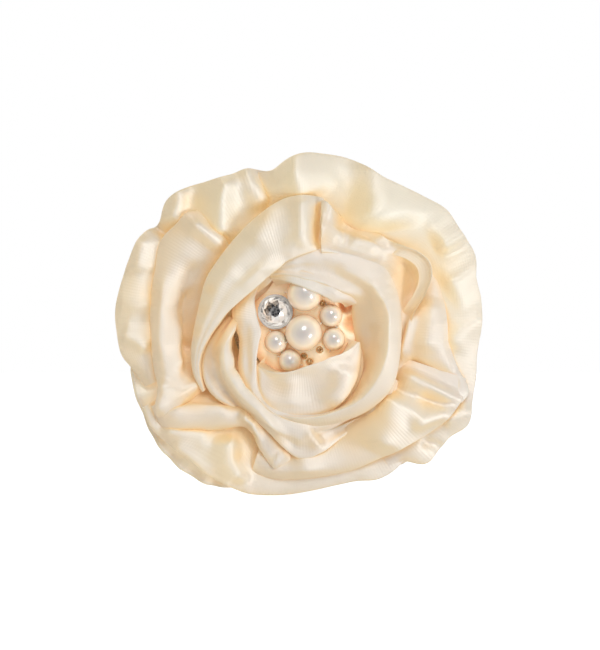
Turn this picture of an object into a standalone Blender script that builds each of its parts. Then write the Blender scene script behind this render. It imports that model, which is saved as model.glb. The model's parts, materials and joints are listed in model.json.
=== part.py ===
"""Satin rose hair clip: an alligator clip, its felt backing, a wound satin rose and a bead cluster.

Frame: +X to the right and +Z up as the flower is seen from the front, which faces -Y; the clip is on the
+Y side. The origin is the middle of the whole clip's bounding box, on the flower's axis and half-way through
its depth.
The pieces are modelled with Y = 0 on the felt backing's rear face, and moved to that origin at the end.
Sizes below are in millimetres and angles in degrees, anticlockwise from +X as seen from the front.
"""
import math

import bmesh
import bpy
import numpy as np
from mathutils import Matrix, Vector

MM = 0.001

# Driving dimensions.
DEPTH_CENTRE = 3.95          # the bounding box's middle, in front of the felt's rear face
GAP = 0.3                    # clearance between neighbouring pieces
FELT_RADIUS = 25.0
FELT_THICKNESS = 1.2
BASE_DISC_RADIUS = 23.0
BASE_DISC_THICKNESS = 0.8
STRIP_FOOT_HEIGHT = 3.9      # where the satin strips are sewn down, above the felt's rear face
SATIN_THICKNESS = 0.6        # a folded satin strip, two layers
PEARL_LARGE = 8.0
PEARL_SMALL = 5.0
STONE_DIAMETER = 7.0
CUP_DEPTH = 2.6              # of the stone's setting
CUP_FLOOR = 0.4
CUP_WALL = 0.3
SEED_BEAD = 1.5

CLIP_LENGTH = 48.0
CLIP_WIDTH = 9.6
CLIP_SHEET = 0.8             # thickness of the stamped steel
TIP_X = -25.0                # the jaws' tips
HINGE_X, HINGE_Y = 11.0, 5.0  # the hinge pin's axis, which runs along Z
HINGE_RADIUS = 2.3           # of the ears and walls round the pin
PIN_RADIUS = 0.85
PIN_HEAD_RADIUS = 1.4
HINGE_HOLE_RADIUS = 0.93
WALL = 0.6                   # thickness of the ears and of the moving arm's walls
TAB_START, TAB_END = 14.5, 23.5
TAB_CORNER = 2.6
TOOTH_COUNT = 6
SPRING_WIRE = 0.6
SPRING_COIL_RADIUS = 1.4     # to the middle of the wire
SPRING_TURNS = 4.5
SPRING_REACH = 2.9           # from the middle of the coil to each leg, along the pin
SPRING_LEG = 8.0
JAW_BACK = ((-25.4, 2.2), (-20.0, 4.3), (-12.0, 6.6), (0.0, 8.0), (11.0, 8.3), (14.5, 8.7))  # x, height
TAB_SLOPE = 0.3              # rise of the thumb tab per millimetre
TOOTH_LOW, TOOTH_HIGH = 1.45, 2.3
TEETH_END = -14.0
STRAP_FROM, STRAP_TO = -8.0, 3.0
STRAP_THICKNESS = 0.9
STRAP_FLAP = 4.5             # glued down at each side of the arm

IVORY = (0.93, 0.84, 0.70)
SATIN = {"color": IVORY, "roughness": 0.35, "metallic": 0.0}
FELT = {"color": (0.90, 0.85, 0.75), "roughness": 0.95, "metallic": 0.0}
PEARL = {"color": (0.95, 0.90, 0.82), "roughness": 0.18, "metallic": 0.0}
STEEL = {"color": (0.72, 0.72, 0.73), "roughness": 0.28, "metallic": 1.0}
CRYSTAL = {"color": (0.93, 0.95, 0.97), "roughness": 0.03, "metallic": 0.0}
GOLD = {"color": (0.72, 0.58, 0.36), "roughness": 0.3, "metallic": 0.8}

# Each satin strip is a folded ribbon that leaves the base disc at its foot radius, rises behind the strip
# inside it, shows between its inner and outer edge, and ends in the fold. A row is one section of it:
# angle, then radius and height of the inner edge, of the middle, and of the outer edge.
# "lean" places the hidden bend between foot and inner edge, as shares of the way out and of the way up.
STRIPS = {
    "petal_centre_lower": {"foot": 11.3, "lean": (0.0, 0.6), "rows": (
        (227, 12.6, 14.0, 12.9, 14.0, 13.2, 13.6),
        (238, 12.2, 14.8, 14.5, 14.4, 16.6, 12.6),
        (246, 11.8, 15.3, 15.2, 14.6, 18.3, 12.4),
        (256, 10.8, 15.7, 15.2, 14.6, 19.3, 12.6),
        (271, 9.7, 16.0, 14.8, 14.4, 19.7, 12.8),
        (286, 9.5, 16.0, 14.8, 14.4, 19.5, 12.8),
        (300, 9.7, 16.0, 14.4, 14.6, 18.4, 12.8),
        (315, 10.3, 15.7, 13.8, 15.0, 16.6, 13.2),
        (330, 12.0, 15.0, 13.4, 14.8, 14.8, 13.6),
        (341, 13.2, 14.2, 13.5, 14.2, 13.8, 13.8))},
    "petal_centre_left": {"foot": 12.2, "lean": (0.6, 0.45), "rows": (
        (150, 11.4, 13.2, 12.3, 13.2, 13.1, 12.2),
        (165, 10.0, 14.0, 12.4, 14.0, 14.4, 12.4),
        (180, 9.0, 14.5, 11.8, 14.4, 14.2, 12.6),
        (192, 8.8, 14.6, 11.2, 14.4, 13.4, 12.8),
        (205, 9.9, 14.6, 12.4, 14.3, 14.4, 12.8),
        (218, 11.9, 14.4, 14.8, 14.0, 17.0, 12.6),
        (228, 14.3, 14.0, 16.8, 13.8, 18.7, 12.4),
        (238, 17.4, 13.4, 18.4, 13.6, 19.4, 12.8),
        (246, 18.9, 13.2, 19.6, 13.4, 20.1, 12.8),
        (252, 19.9, 12.9, 20.2, 12.9, 20.5, 12.6))},
    "wrap_cup": {"foot": 12.6, "lean": (0.55, 0.6), "rows": (
        (-70, 20.5, 10.5, 21.4, 14.2, 22.7, 11.8),
        (-62, 19.6, 10.5, 21.2, 15.0, 23.2, 12.0),
        (-50, 18.0, 10.0, 21.2, 16.5, 24.0, 12.0),
        (-35, 16.2, 9.5, 20.8, 17.5, 24.6, 12.0),
        (-20, 14.4, 9.2, 20.3, 18.5, 23.2, 12.5),
        (-5, 12.9, 9.2, 19.7, 19.0, 22.3, 13.0),
        (10, 12.6, 9.5, 19.6, 19.0, 22.3, 13.5),
        (20, 12.6, 11.0, 18.8, 18.8, 22.3, 14.5),
        (28, 12.8, 13.5, 18.0, 18.3, 22.2, 15.6),
        (38, 11.8, 15.0, 16.8, 17.6, 21.0, 16.8),
        (50, 11.2, 16.0, 15.0, 17.4, 18.4, 17.2),
        (65, 10.7, 16.4, 14.0, 17.2, 16.6, 16.8),
        (80, 10.7, 16.4, 13.4, 16.8, 15.8, 16.2),
        (100, 11.1, 16.0, 12.5, 16.2, 13.6, 15.4),
        (114, 11.6, 14.2, 12.1, 14.4, 12.5, 14.0))},
    "wrap_spiral": {"foot": 14.0, "lean": (0.62, 0.55), "rows": (
        (186, 14.8, 13.0, 16.2, 13.4, 18.0, 12.0),
        (196, 16.5, 14.5, 18.8, 13.8, 21.2, 12.0),
        (207, 18.0, 15.0, 20.5, 13.5, 23.2, 11.4),
        (216, 18.9, 15.0, 21.2, 13.5, 24.3, 11.0),
        (230, 20.2, 14.4, 21.8, 13.8, 23.5, 11.4),
        (243, 21.2, 13.6, 22.0, 13.3, 22.8, 11.5),
        (255, 21.8, 13.2, 23.2, 13.0, 24.6, 11.0),
        (263, 22.0, 12.8, 24.7, 12.6, 27.3, 10.5),
        (270, 21.8, 12.6, 25.5, 12.3, 29.4, 10.0),
        (280, 21.8, 12.0, 25.2, 11.8, 28.3, 10.0),
        (289, 23.2, 10.6, 25.0, 11.0, 26.8, 9.8),
        (300, 23.9, 10.4, 25.0, 10.9, 26.0, 9.8),
        (310, 24.6, 10.3, 25.5, 10.7, 26.3, 9.8),
        (320, 25.2, 10.2, 25.9, 10.5, 26.5, 9.8),
        (327, 25.2, 10.1, 25.6, 10.2, 25.9, 9.8))},
    "wrap_broad": {"foot": 15.4, "lean": (0.8, 0.45), "rows": (
        (78, 17.3, 16.8, 21.0, 16.6, 25.5, 15.0),
        (85, 16.4, 17.8, 21.0, 18.0, 27.2, 15.0),
        (95, 15.0, 18.0, 20.5, 19.0, 27.3, 15.5),
        (110, 13.4, 18.0, 19.0, 19.3, 25.1, 15.5),
        (125, 12.6, 18.0, 18.0, 19.0, 23.4, 15.0),
        (140, 12.6, 18.0, 17.5, 18.8, 22.6, 14.5),
        (155, 13.7, 17.5, 18.2, 18.3, 22.5, 14.0),
        (168, 15.4, 17.0, 19.3, 17.6, 22.3, 13.5),
        (182, 18.8, 16.0, 21.0, 16.3, 23.0, 13.0),
        (196, 22.4, 14.4, 23.4, 14.5, 24.4, 12.5),
        (205, 24.4, 13.0, 25.2, 13.0, 25.8, 11.5),
        (213, 25.6, 11.6, 26.0, 11.5, 26.4, 10.6))},
    "wrap_rolled": {"foot": 15.4, "lean": (0.55, 0.6), "rows": (
        (0, 22.9, 11.3, 23.3, 11.4, 23.7, 11.8),
        (6, 22.9, 11.7, 23.9, 11.6, 25.0, 12.8),
        (13, 22.9, 12.2, 25.5, 11.2, 28.1, 14.5),
        (20, 22.9, 12.8, 26.5, 10.8, 30.5, 15.3),
        (28, 22.9, 13.8, 26.5, 11.0, 31.0, 15.6),
        (35, 22.3, 15.0, 25.5, 12.2, 28.8, 15.6),
        (43, 21.2, 16.3, 23.5, 14.5, 26.2, 15.2),
        (50, 20.0, 17.0, 22.6, 15.6, 26.2, 15.0),
        (60, 18.8, 17.6, 22.0, 15.6, 26.3, 14.6),
        (70, 18.0, 18.0, 21.6, 17.4, 26.6, 15.8),
        (76, 17.6, 18.0, 22.0, 18.2, 27.0, 16.5))},
    "band_left": {"foot": 17.4, "lean": (0.5, 0.4), "rows": (
        (136, 23.5, 11.5, 29.0, 13.0, 34.0, 10.5),
        (142, 23.4, 11.0, 29.0, 13.0, 34.8, 10.0),
        (150, 23.7, 10.4, 29.5, 12.7, 35.0, 9.2),
        (160, 24.1, 10.0, 29.5, 12.5, 34.0, 9.0),
        (172, 24.7, 9.8, 29.5, 12.3, 33.0, 9.0),
        (185, 26.0, 9.8, 29.8, 12.0, 32.7, 8.8),
        (198, 27.9, 9.6, 30.8, 11.5, 33.5, 8.7),
        (206, 28.8, 9.6, 31.5, 11.0, 34.4, 8.6),
        (211, 29.8, 9.8, 33.0, 10.6, 36.6, 8.8))},
    "band_lower_left": {"foot": 17.0, "lean": (0.5, 0.5), "rows": (
        (214, 33.6, 9.4, 35.3, 10.3, 37.3, 8.5),
        (219, 29.5, 9.8, 33.0, 10.8, 36.8, 8.2),
        (226, 26.0, 9.8, 29.0, 10.8, 32.8, 8.5),
        (234, 24.4, 9.8, 26.2, 10.5, 28.2, 8.8),
        (241, 23.6, 9.8, 24.6, 10.2, 25.7, 8.9),
        (248, 24.0, 9.6, 25.4, 10.0, 27.0, 8.6),
        (255, 25.4, 9.3, 27.0, 9.6, 28.4, 8.2),
        (259, 26.6, 9.0, 27.8, 9.2, 28.9, 8.0))},
    "band_lower": {"foot": 18.4, "lean": (0.35, 0.6), "rows": (
        (247, 29.6, 7.4, 32.0, 8.4, 34.3, 7.0),
        (254, 29.9, 7.4, 32.2, 8.8, 34.8, 7.0),
        (262, 30.4, 7.6, 32.4, 9.0, 34.5, 7.0),
        (270, 30.4, 7.8, 32.3, 9.2, 34.1, 7.0),
        (280, 29.2, 8.1, 31.5, 9.4, 33.7, 7.2),
        (290, 27.7, 8.4, 31.0, 9.7, 34.0, 7.3),
        (300, 26.9, 8.5, 30.5, 9.8, 34.2, 7.5),
        (310, 27.2, 8.5, 30.8, 10.0, 34.8, 8.0),
        (320, 27.4, 8.5, 31.5, 10.2, 36.5, 8.5),
        (328, 26.8, 8.8, 31.5, 10.2, 37.5, 8.8),
        (334, 26.6, 9.0, 31.5, 10.0, 38.0, 8.8))},
    "band_right": {"foot": 17.0, "lean": (0.5, 0.45), "rows": (
        (-24, 25.2, 9.4, 30.0, 10.2, 38.2, 9.0),
        (-16, 24.4, 9.5, 28.5, 11.0, 35.2, 8.8),
        (-8, 23.8, 9.7, 27.5, 11.2, 33.4, 8.8),
        (0, 24.6, 9.4, 28.0, 11.0, 32.4, 8.9),
        (8, 26.8, 9.0, 29.5, 10.2, 32.2, 8.8),
        (14, 29.4, 8.8, 30.8, 9.4, 32.2, 8.7))},
    "petal_top": {"foot": 20.0, "lean": (0.55, 0.5), "rows": (
        (-20, 36.0, 7.0, 37.5, 7.5, 40.5, 6.5),
        (-10, 34.2, 7.0, 37.0, 8.0, 39.5, 6.5),
        (0, 33.0, 7.2, 36.5, 8.5, 39.7, 7.0),
        (10, 32.8, 7.4, 36.5, 8.8, 39.9, 7.0),
        (20, 31.6, 8.2, 36.0, 9.4, 41.0, 7.5),
        (30, 31.6, 8.5, 36.0, 9.5, 40.4, 7.5),
        (40, 28.6, 9.5, 34.5, 11.0, 40.4, 8.0),
        (50, 27.1, 10.0, 32.5, 11.5, 38.0, 8.5),
        (60, 27.2, 10.0, 32.0, 10.5, 36.6, 8.0),
        (70, 27.4, 10.0, 32.5, 10.5, 37.4, 8.0),
        (80, 28.0, 10.5, 32.5, 12.0, 37.5, 9.0),
        (92, 28.2, 10.5, 32.0, 12.5, 36.3, 9.5),
        (103, 26.8, 10.0, 30.5, 12.5, 34.3, 9.5))},
    "petal_left": {"foot": 20.0, "lean": (0.55, 0.5), "rows": (
        (105, 26.6, 9.0, 30.5, 9.5, 34.5, 8.0),
        (112, 25.6, 9.5, 30.5, 11.0, 35.6, 8.0),
        (120, 24.8, 8.8, 30.5, 9.0, 36.6, 7.0),
        (128, 24.2, 7.8, 31.0, 7.9, 38.2, 7.0),
        (134, 27.0, 6.6, 33.0, 7.3, 39.3, 6.5),
        (140, 34.8, 6.9, 36.8, 7.5, 39.0, 6.3),
        (146, 35.8, 7.0, 37.0, 7.5, 38.6, 6.2),
        (152, 35.6, 7.0, 37.6, 7.5, 39.7, 6.0),
        (162, 34.6, 7.0, 37.2, 7.8, 40.0, 6.0),
        (172, 33.7, 7.0, 37.0, 8.0, 40.3, 6.0),
        (182, 33.4, 7.0, 36.8, 8.0, 40.0, 6.0),
        (191, 33.7, 7.0, 36.6, 7.8, 39.4, 6.0))},
    "petal_lower": {"foot": 20.0, "lean": (0.55, 0.5), "rows": (
        (216, 38.0, 6.5, 38.7, 6.8, 39.4, 6.0),
        (222, 36.4, 6.5, 37.6, 7.0, 38.9, 5.8),
        (228, 33.8, 6.4, 36.0, 7.2, 38.1, 5.8),
        (236, 30.0, 6.4, 34.0, 7.3, 38.8, 6.0),
        (244, 30.0, 5.6, 34.0, 6.2, 38.6, 5.8),
        (252, 34.6, 5.4, 37.0, 6.1, 38.9, 5.2),
        (262, 34.9, 5.4, 36.5, 6.1, 38.1, 5.2),
        (274, 34.4, 5.5, 35.6, 6.1, 36.8, 5.2),
        (285, 34.3, 5.6, 35.3, 6.1, 36.4, 5.2),
        (293, 34.6, 5.6, 35.8, 6.2, 37.3, 5.4),
        (300, 34.8, 5.8, 36.4, 6.4, 38.2, 5.5))},
    "petal_lower_right": {"foot": 20.0, "lean": (0.55, 0.5), "rows": (
        (302, 35.0, 6.0, 36.5, 6.4, 38.2, 5.5),
        (307, 35.3, 6.0, 36.6, 6.4, 37.8, 5.5),
        (312, 35.8, 6.3, 38.0, 6.8, 41.0, 6.0),
        (318, 36.9, 6.4, 39.0, 6.9, 41.3, 6.0),
        (325, 38.2, 6.4, 40.0, 6.9, 41.9, 6.0),
        (330, 38.8, 6.6, 40.8, 7.1, 43.0, 6.2),
        (335, 39.2, 6.8, 40.5, 7.2, 41.8, 6.4))},
}

# The lowest ruffle goes all the way round: angle and outer radius.
RUFFLE_INNER = 14.0
RUFFLE_HEIGHT = 2.7
RUFFLE_EDGE_HEIGHT = 4.2
RUFFLE_THICKNESS = 0.5
RUFFLE_OUTLINE = (
    (0, 38.0), (15, 38.0), (30, 38.6), (45, 37.4), (60, 35.4), (75, 36.0), (90, 35.0), (105, 33.0),
    (120, 35.0), (135, 37.6), (150, 38.2), (165, 38.4), (180, 38.4), (192, 38.0), (204, 39.3),
    (214, 40.0), (224, 41.5), (232, 41.6), (240, 41.0), (250, 38.0), (265, 36.2), (280, 35.2),
    (295, 36.2), (310, 38.4), (325, 40.0), (340, 38.6), (350, 38.0))

# Bead cluster: centre across and up, diameter, and height of the centre.
PEARLS = {
    "pearl_large_middle": (0.9, -1.9, PEARL_LARGE, 13.2),
    "pearl_large_top": (1.1, 6.6, PEARL_LARGE - 0.3, 13.6),
    "pearl_small_right_upper": (6.9, 1.9, PEARL_SMALL, 12.0),
    "pearl_small_right_lower": (7.5, -3.3, PEARL_SMALL, 12.0),
    "pearl_small_left": (-5.2, -3.9, PEARL_SMALL, 11.6),
    "pearl_small_bottom": (-2.1, -8.0, PEARL_SMALL, 11.6),
}
SEED_BEADS = {
    "seed_bead_1": (4.4, -5.6, 10.4),
    "seed_bead_2": (1.0, -7.0, 10.3),
    "seed_bead_3": (2.2, -8.2, 10.0),
    "seed_bead_4": (5.0, 4.6, 10.2),
}
STONE_CENTRE = (-5.3, 2.7)
STONE_HEIGHT = 9.4          # the setting's underside
PAD_CENTRE = (1.0, 0.3)
PAD_PROFILE = ((0.0, 8.9), (3.5, 8.8), (6.0, 8.3), (7.8, 7.3), (8.4, 6.0), (8.0, 4.6), (6.5, 2.7), (0.0, 2.7))

STATION_STEP = 11.0          # degrees between the strips' sections
SECTION_STEPS = (2, 1, 2, 2)  # points per stretch: foot, bend, inner edge, middle, outer edge


def clear_scene():
    for obj in list(bpy.data.objects):
        bpy.data.objects.remove(obj)


def material(name, look):
    found = bpy.data.materials.get(name)
    if found:
        return found
    made = bpy.data.materials.new(name)
    made.use_nodes = True
    shader = made.node_tree.nodes["Principled BSDF"]
    shader.inputs["Base Color"].default_value = (*look["color"], 1.0)
    shader.inputs["Roughness"].default_value = look["roughness"]
    shader.inputs["Metallic"].default_value = look["metallic"]
    return made


def add_object(name, bm, material_name, look, smooth_angle=40.0, at=(0.0, 0.0, 0.0)):
    """Makes an object from a bmesh that is in millimetres round the point at, which becomes its origin."""
    bmesh.ops.recalc_face_normals(bm, faces=bm.faces)
    bmesh.ops.scale(bm, vec=(MM, MM, MM), verts=bm.verts)
    mesh = bpy.data.meshes.new(name)
    bm.to_mesh(mesh)
    bm.free()
    mesh.shade_smooth()
    mesh.set_sharp_from_angle(angle=math.radians(smooth_angle))
    obj = bpy.data.objects.new(name, mesh)
    obj.location = Vector(at) * MM
    obj.data.materials.append(material(material_name, look))
    bpy.context.scene.collection.objects.link(obj)
    return obj


def combine(obj, other, operation):
    """Adds or cuts another solid, which stays in the file as a hidden helper."""
    modifier = obj.modifiers.new(other.name, "BOOLEAN")
    modifier.object = other
    modifier.operation = operation
    other.hide_render = True
    other.display_type = "WIRE"


def skin(loops, capped=True):
    """A closed surface through loops of points, with flat ends or, if not capped, joined into a ring."""
    bm = bmesh.new()
    rings = [[bm.verts.new(point) for point in loop] for loop in loops]
    following = rings[1:] if capped else rings[1:] + rings[:1]
    for here, there in zip(rings, following):
        for i in range(len(here)):
            j = (i + 1) % len(here)
            bm.faces.new((here[i], here[j], there[j], there[i]))
    if capped:
        bm.faces.new(rings[0])
        bm.faces.new(rings[-1])
    return bm


def arc(centre, radius, start, end, steps):
    return [(centre[0] + radius * math.cos(math.radians(start + (end - start) * i / steps)),
             centre[1] + radius * math.sin(math.radians(start + (end - start) * i / steps)))
            for i in range(steps + 1)]


def circle(radius, z, segments=32):
    return [(x, y, z) for x, y in arc((0.0, 0.0), radius, 0.0, 360.0, segments)[:-1]]


def front_point(angle, radius, height):
    """A point given round the flower's axis, by its height above the felt's rear face."""
    turn = math.radians(angle)
    return Vector((radius * math.cos(turn), -height, radius * math.sin(turn)))


def spline(knots, values, at):
    """Cubic Hermite curve through values at knots, with finite-difference slopes."""
    knots, values = np.asarray(knots, float), np.asarray(values, float)
    slopes = np.gradient(values, knots, axis=0)
    index = np.clip(np.searchsorted(knots, at, side="right") - 1, 0, len(knots) - 2)
    span = (knots[index + 1] - knots[index])[:, None]
    t = (np.asarray(at)[:, None] - knots[index][:, None]) / span
    start, end = values[index], values[index + 1]
    return ((1 + 2 * t) * (1 - t) ** 2 * start + t * (1 - t) ** 2 * span * slopes[index]
            + t * t * (3 - 2 * t) * end - t * t * (1 - t) * span * slopes[index + 1])


def section_curve(foot, lean, row):
    """The strip's front surface in one section, from its foot to its outer edge, as (radius, height)."""
    inner, middle, outer = row[0:2], row[2:4], row[4:6]
    bend = (foot + lean[0] * (inner[0] - foot), STRIP_FOOT_HEIGHT + lean[1] * (inner[1] - STRIP_FOOT_HEIGHT))
    corners = np.array([(foot, STRIP_FOOT_HEIGHT), bend, inner, middle, outer])
    lengths = np.concatenate(([0.0], np.cumsum(np.linalg.norm(np.diff(corners, axis=0), axis=1))))
    places = [lengths[0]]
    for start, end, steps in zip(lengths, lengths[1:], SECTION_STEPS):
        places += [start + (end - start) * (i + 1) / steps for i in range(steps)]
    return spline(lengths, corners, places)


def offset_curve(curve, distance):
    """The curve moved to its right-hand side, which is the strip's back."""
    along = np.gradient(curve, axis=0)
    along /= np.linalg.norm(along, axis=1)[:, None]
    return curve + distance * np.column_stack((along[:, 1], -along[:, 0]))


def satin_strip(name, foot, lean, rows):
    """One folded satin strip as a closed curved slab, swept through its sections."""
    rows = np.array(rows, float)
    steps = max(2, round((rows[-1, 0] - rows[0, 0]) / STATION_STEP))
    angles = np.linspace(rows[0, 0], rows[-1, 0], steps + 1)
    loops = []
    for angle, row in zip(angles, spline(rows[:, 0], rows[:, 1:], angles)):
        front = section_curve(foot, lean, row)
        back = offset_curve(front, SATIN_THICKNESS)
        loops.append([front_point(angle, *point) for point in np.vstack((front, back[::-1]))])
    return add_object(name, skin(loops), "satin", SATIN)


def ruffle():
    """The lowest ruffle, a flat gathered ring whose edge lifts a little."""
    knots = [angle for angle, _ in RUFFLE_OUTLINE]
    radii = [[radius] for _, radius in RUFFLE_OUTLINE]
    angles = np.arange(0.0, 360.0, STATION_STEP * 0.75)
    edges = spline([knots[-1] - 360.0, *knots, 360.0], [radii[-1], *radii, radii[0]], angles)
    top = RUFFLE_HEIGHT + RUFFLE_THICKNESS
    loops = []
    for angle, (edge,) in zip(angles, edges):
        section = ((RUFFLE_INNER, RUFFLE_HEIGHT), (27.0, RUFFLE_HEIGHT), (edge - 4.0, RUFFLE_HEIGHT + 0.3),
                   (edge, RUFFLE_EDGE_HEIGHT - RUFFLE_THICKNESS), (edge - 0.2, RUFFLE_EDGE_HEIGHT),
                   (edge - 4.2, top + 0.3), (27.0, top), (RUFFLE_INNER, top))
        loops.append([front_point(angle, *point) for point in section])
    return add_object("ruffle_base", skin(loops, capped=False), "satin", SATIN)


def turned(profile, segments, centre=(0.0, 0.0)):
    """A solid turned about an axis along Y, from (radius, height) pairs that start and end on the axis."""
    bm = bmesh.new()
    rings = []
    for radius, height in profile:
        spots = arc(centre, radius, 0.0, 360.0, segments)[:-1] if radius else [centre]
        rings.append([bm.verts.new((x, -height, z)) for x, z in spots])
    for here, there in zip(rings, rings[1:]):
        for i in range(segments):
            j = (i + 1) % segments
            corners = [here[i % len(here)], here[j % len(here)], there[j % len(there)], there[i % len(there)]]
            bm.faces.new(list(dict.fromkeys(corners)))
    return bm


def disc(name, radius, rear, front, material_name):
    profile = ((0.0, rear), (radius, rear), (radius, front), (0.0, front))
    return add_object(name, turned(profile, 64), material_name, FELT)


def backing():
    """The felt disc at the back, the stiff disc the strips are sewn to, and the pad under the beads."""
    disc("felt_backing", FELT_RADIUS, 0.0, FELT_THICKNESS, "felt")
    rear = FELT_THICKNESS + GAP
    disc("stiff_base_disc", BASE_DISC_RADIUS, rear, rear + BASE_DISC_THICKNESS, "buckram")
    add_object("centre_pad", turned(PAD_PROFILE, 32, PAD_CENTRE), "satin", SATIN)


def ball(name, across, up, diameter, height, material_name, look, rows):
    bm = bmesh.new()
    bmesh.ops.create_uvsphere(bm, u_segments=2 * rows, v_segments=rows, radius=diameter / 2)
    return add_object(name, bm, material_name, look, at=(across, -height, up))


def beads():
    for name, (across, up, diameter, height) in PEARLS.items():
        ball(name, across, up, diameter, height, "pearl", PEARL, rows=10 if diameter > PEARL_SMALL else 8)
    for name, (across, up, height) in SEED_BEADS.items():
        ball(name, across, up, SEED_BEAD, height, "seed_bead", GOLD, rows=6)


def stone_and_setting():
    """A round faceted stone in a cup whose wall stands round the stone's girdle."""
    radius = STONE_DIAMETER / 2
    inside, outside = radius + 0.05, radius + 0.05 + CUP_WALL
    low, high, floor = STONE_HEIGHT, STONE_HEIGHT + CUP_DEPTH, STONE_HEIGHT + CUP_FLOOR
    cup = ((0.0, low), (radius - 1.4, low), (outside, low + 1.5), (outside, high), (inside, high),
           (inside, low + 1.75), (radius - 1.5, floor), (0.0, floor))
    add_object("stone_setting", turned(cup, 32, STONE_CENTRE), "setting", STEEL)
    girdle, table = radius - 0.25, low + 3.7
    stone = ((0.0, floor + GAP), (0.9, floor + GAP), (girdle, low + 2.1), (girdle, low + 2.5),
             (radius * 0.56, table), (0.0, table))
    add_object("rhinestone", turned(stone, 16, STONE_CENTRE), "crystal", CRYSTAL, smooth_angle=5.0)


def slab(name, outline, low, high, material_name="steel", look=STEEL):
    """A flat piece with an outline in X and Y, from low to high in Z."""
    loops = [[(x, y, z) for x, y in outline] for z in (low, high)]
    return add_object(name, skin(loops), material_name, look)


def hinge_hole(name):
    bm = skin([circle(HINGE_HOLE_RADIUS, -CLIP_WIDTH), circle(HINGE_HOLE_RADIUS, CLIP_WIDTH)])
    return add_object(name, bm, "steel", STEEL, at=(HINGE_X, HINGE_Y, 0.0))


def fixed_arm():
    """The flat arm that lies on the felt, with two ears for the hinge pin."""
    rear, front = GAP, GAP + CLIP_SHEET
    half = CLIP_WIDTH / 2
    end_x = TIP_X + CLIP_LENGTH
    outline = [*arc((TIP_X + half, 0.0), half, 90, 270, 12), *arc((end_x - half, 0.0), half, -90, 90, 12)]
    loops = [[(x, y, z) for x, z in outline] for y in (rear, front)]
    arm = add_object("clip_fixed_arm", skin(loops), "steel", STEEL)
    ear = [(HINGE_X + 4.4, front - 0.4), (HINGE_X + 3.6, front + 0.6),
           *arc((HINGE_X, HINGE_Y), HINGE_RADIUS, -10, 190, 12),
           (HINGE_X - 3.6, front + 0.6), (HINGE_X - 4.4, front - 0.4)]
    for name, low in (("ear_low", -half), ("ear_high", half - WALL)):
        combine(arm, slab(name, ear, low, low + WALL), "UNION")
    combine(arm, hinge_hole("ear_hole"), "DIFFERENCE")


def jaw_back(x):
    """Height of the moving arm's back over the felt: an arched beak, then a straight thumb tab."""
    if x > TAB_START:
        return JAW_BACK[-1][1] + TAB_SLOPE * (x - TAB_START)
    return float(spline([x for x, _ in JAW_BACK], [[height] for _, height in JAW_BACK], [x])[0, 0])


def jaw_half_width(x, half):
    """The moving arm is straight-sided, and its thumb tab ends in round corners."""
    into_corner = max(0.0, x - (TAB_END - TAB_CORNER))
    return half - TAB_CORNER + math.sqrt(max(0.0, TAB_CORNER ** 2 - into_corner ** 2))


def jaw_wall_outline():
    """A moving arm's side wall: its upper edge lies inside the back, its lower edge carries the teeth."""
    top = [(x, jaw_back(x) - 0.5 * CLIP_SHEET) for x in np.linspace(TIP_X, 16.0, 14)]
    pitch = (TEETH_END - TIP_X) / TOOTH_COUNT
    teeth = []
    for i in range(TOOTH_COUNT):
        teeth += [(TEETH_END - i * pitch, TOOTH_HIGH), (TEETH_END - (i + 0.5) * pitch, TOOTH_LOW)]
    below_hinge = arc((HINGE_X, HINGE_Y), HINGE_RADIUS, -20, -160, 8)
    return [*top, (TAB_START, 6.6), *below_hinge, (5.0, 5.4), (-9.0, 4.7), *teeth]


def moving_arm():
    """The sprung jaw: an arched back with a thumb tab, and two walls with teeth and hinge holes."""
    half = CLIP_WIDTH / 2 - WALL - GAP
    corner = TAB_END - TAB_CORNER * np.cos(np.radians([90, 60, 40, 20, 0]))
    stations = [*np.linspace(TIP_X, TAB_START, 14), *corner]
    loops = []
    for x in sorted(stations):
        width, back = jaw_half_width(x, half), jaw_back(x)
        loops.append([(x, back, -width), (x, back, width), (x, back - CLIP_SHEET, width),
                      (x, back - CLIP_SHEET, -width)])
    arm = add_object("clip_moving_arm", skin(loops), "steel", STEEL)
    arm.data.transform(Matrix.Translation((-HINGE_X * MM, -HINGE_Y * MM, 0.0)))
    arm.location = (HINGE_X * MM, HINGE_Y * MM, 0.0)
    for name, low in (("wall_low", -half), ("wall_high", half - WALL)):
        combine(arm, slab(name, jaw_wall_outline(), low, low + WALL), "UNION")
    combine(arm, hinge_hole("wall_hole"), "DIFFERENCE")


def hinge_pin():
    """A rivet through the ears and walls, with a flat head at each end."""
    half = CLIP_WIDTH / 2 + GAP / 2
    steps = ((-half - WALL, PIN_HEAD_RADIUS), (-half, PIN_HEAD_RADIUS), (-half, PIN_RADIUS),
             (half, PIN_RADIUS), (half, PIN_HEAD_RADIUS), (half + WALL, PIN_HEAD_RADIUS))
    add_object("hinge_pin", skin([circle(radius, z) for z, radius in steps]), "steel", STEEL,
               at=(HINGE_X, HINGE_Y, 0.0))


def spring_path():
    """Wire centre line: a leg on the fixed arm, the coil round the pin, and a leg under the thumb tab."""
    first = (SPRING_LEG, GAP + CLIP_SHEET + SPRING_WIRE - HINGE_Y, -SPRING_REACH)
    under_tab = jaw_back(HINGE_X + SPRING_LEG) - CLIP_SHEET - 1.3 * SPRING_WIRE - HINGE_Y
    last = (SPRING_LEG, under_tab, SPRING_REACH)
    steps = round(SPRING_TURNS * 14)
    coil = []
    for i in range(steps + 1):
        turn = math.radians(-90 - 360 * SPRING_TURNS * i / steps)
        coil.append((SPRING_COIL_RADIUS * math.cos(turn), SPRING_COIL_RADIUS * math.sin(turn),
                     SPRING_REACH * (2 * i / steps - 1)))
    return [Vector(point) for point in (first, *coil, last)]


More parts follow.
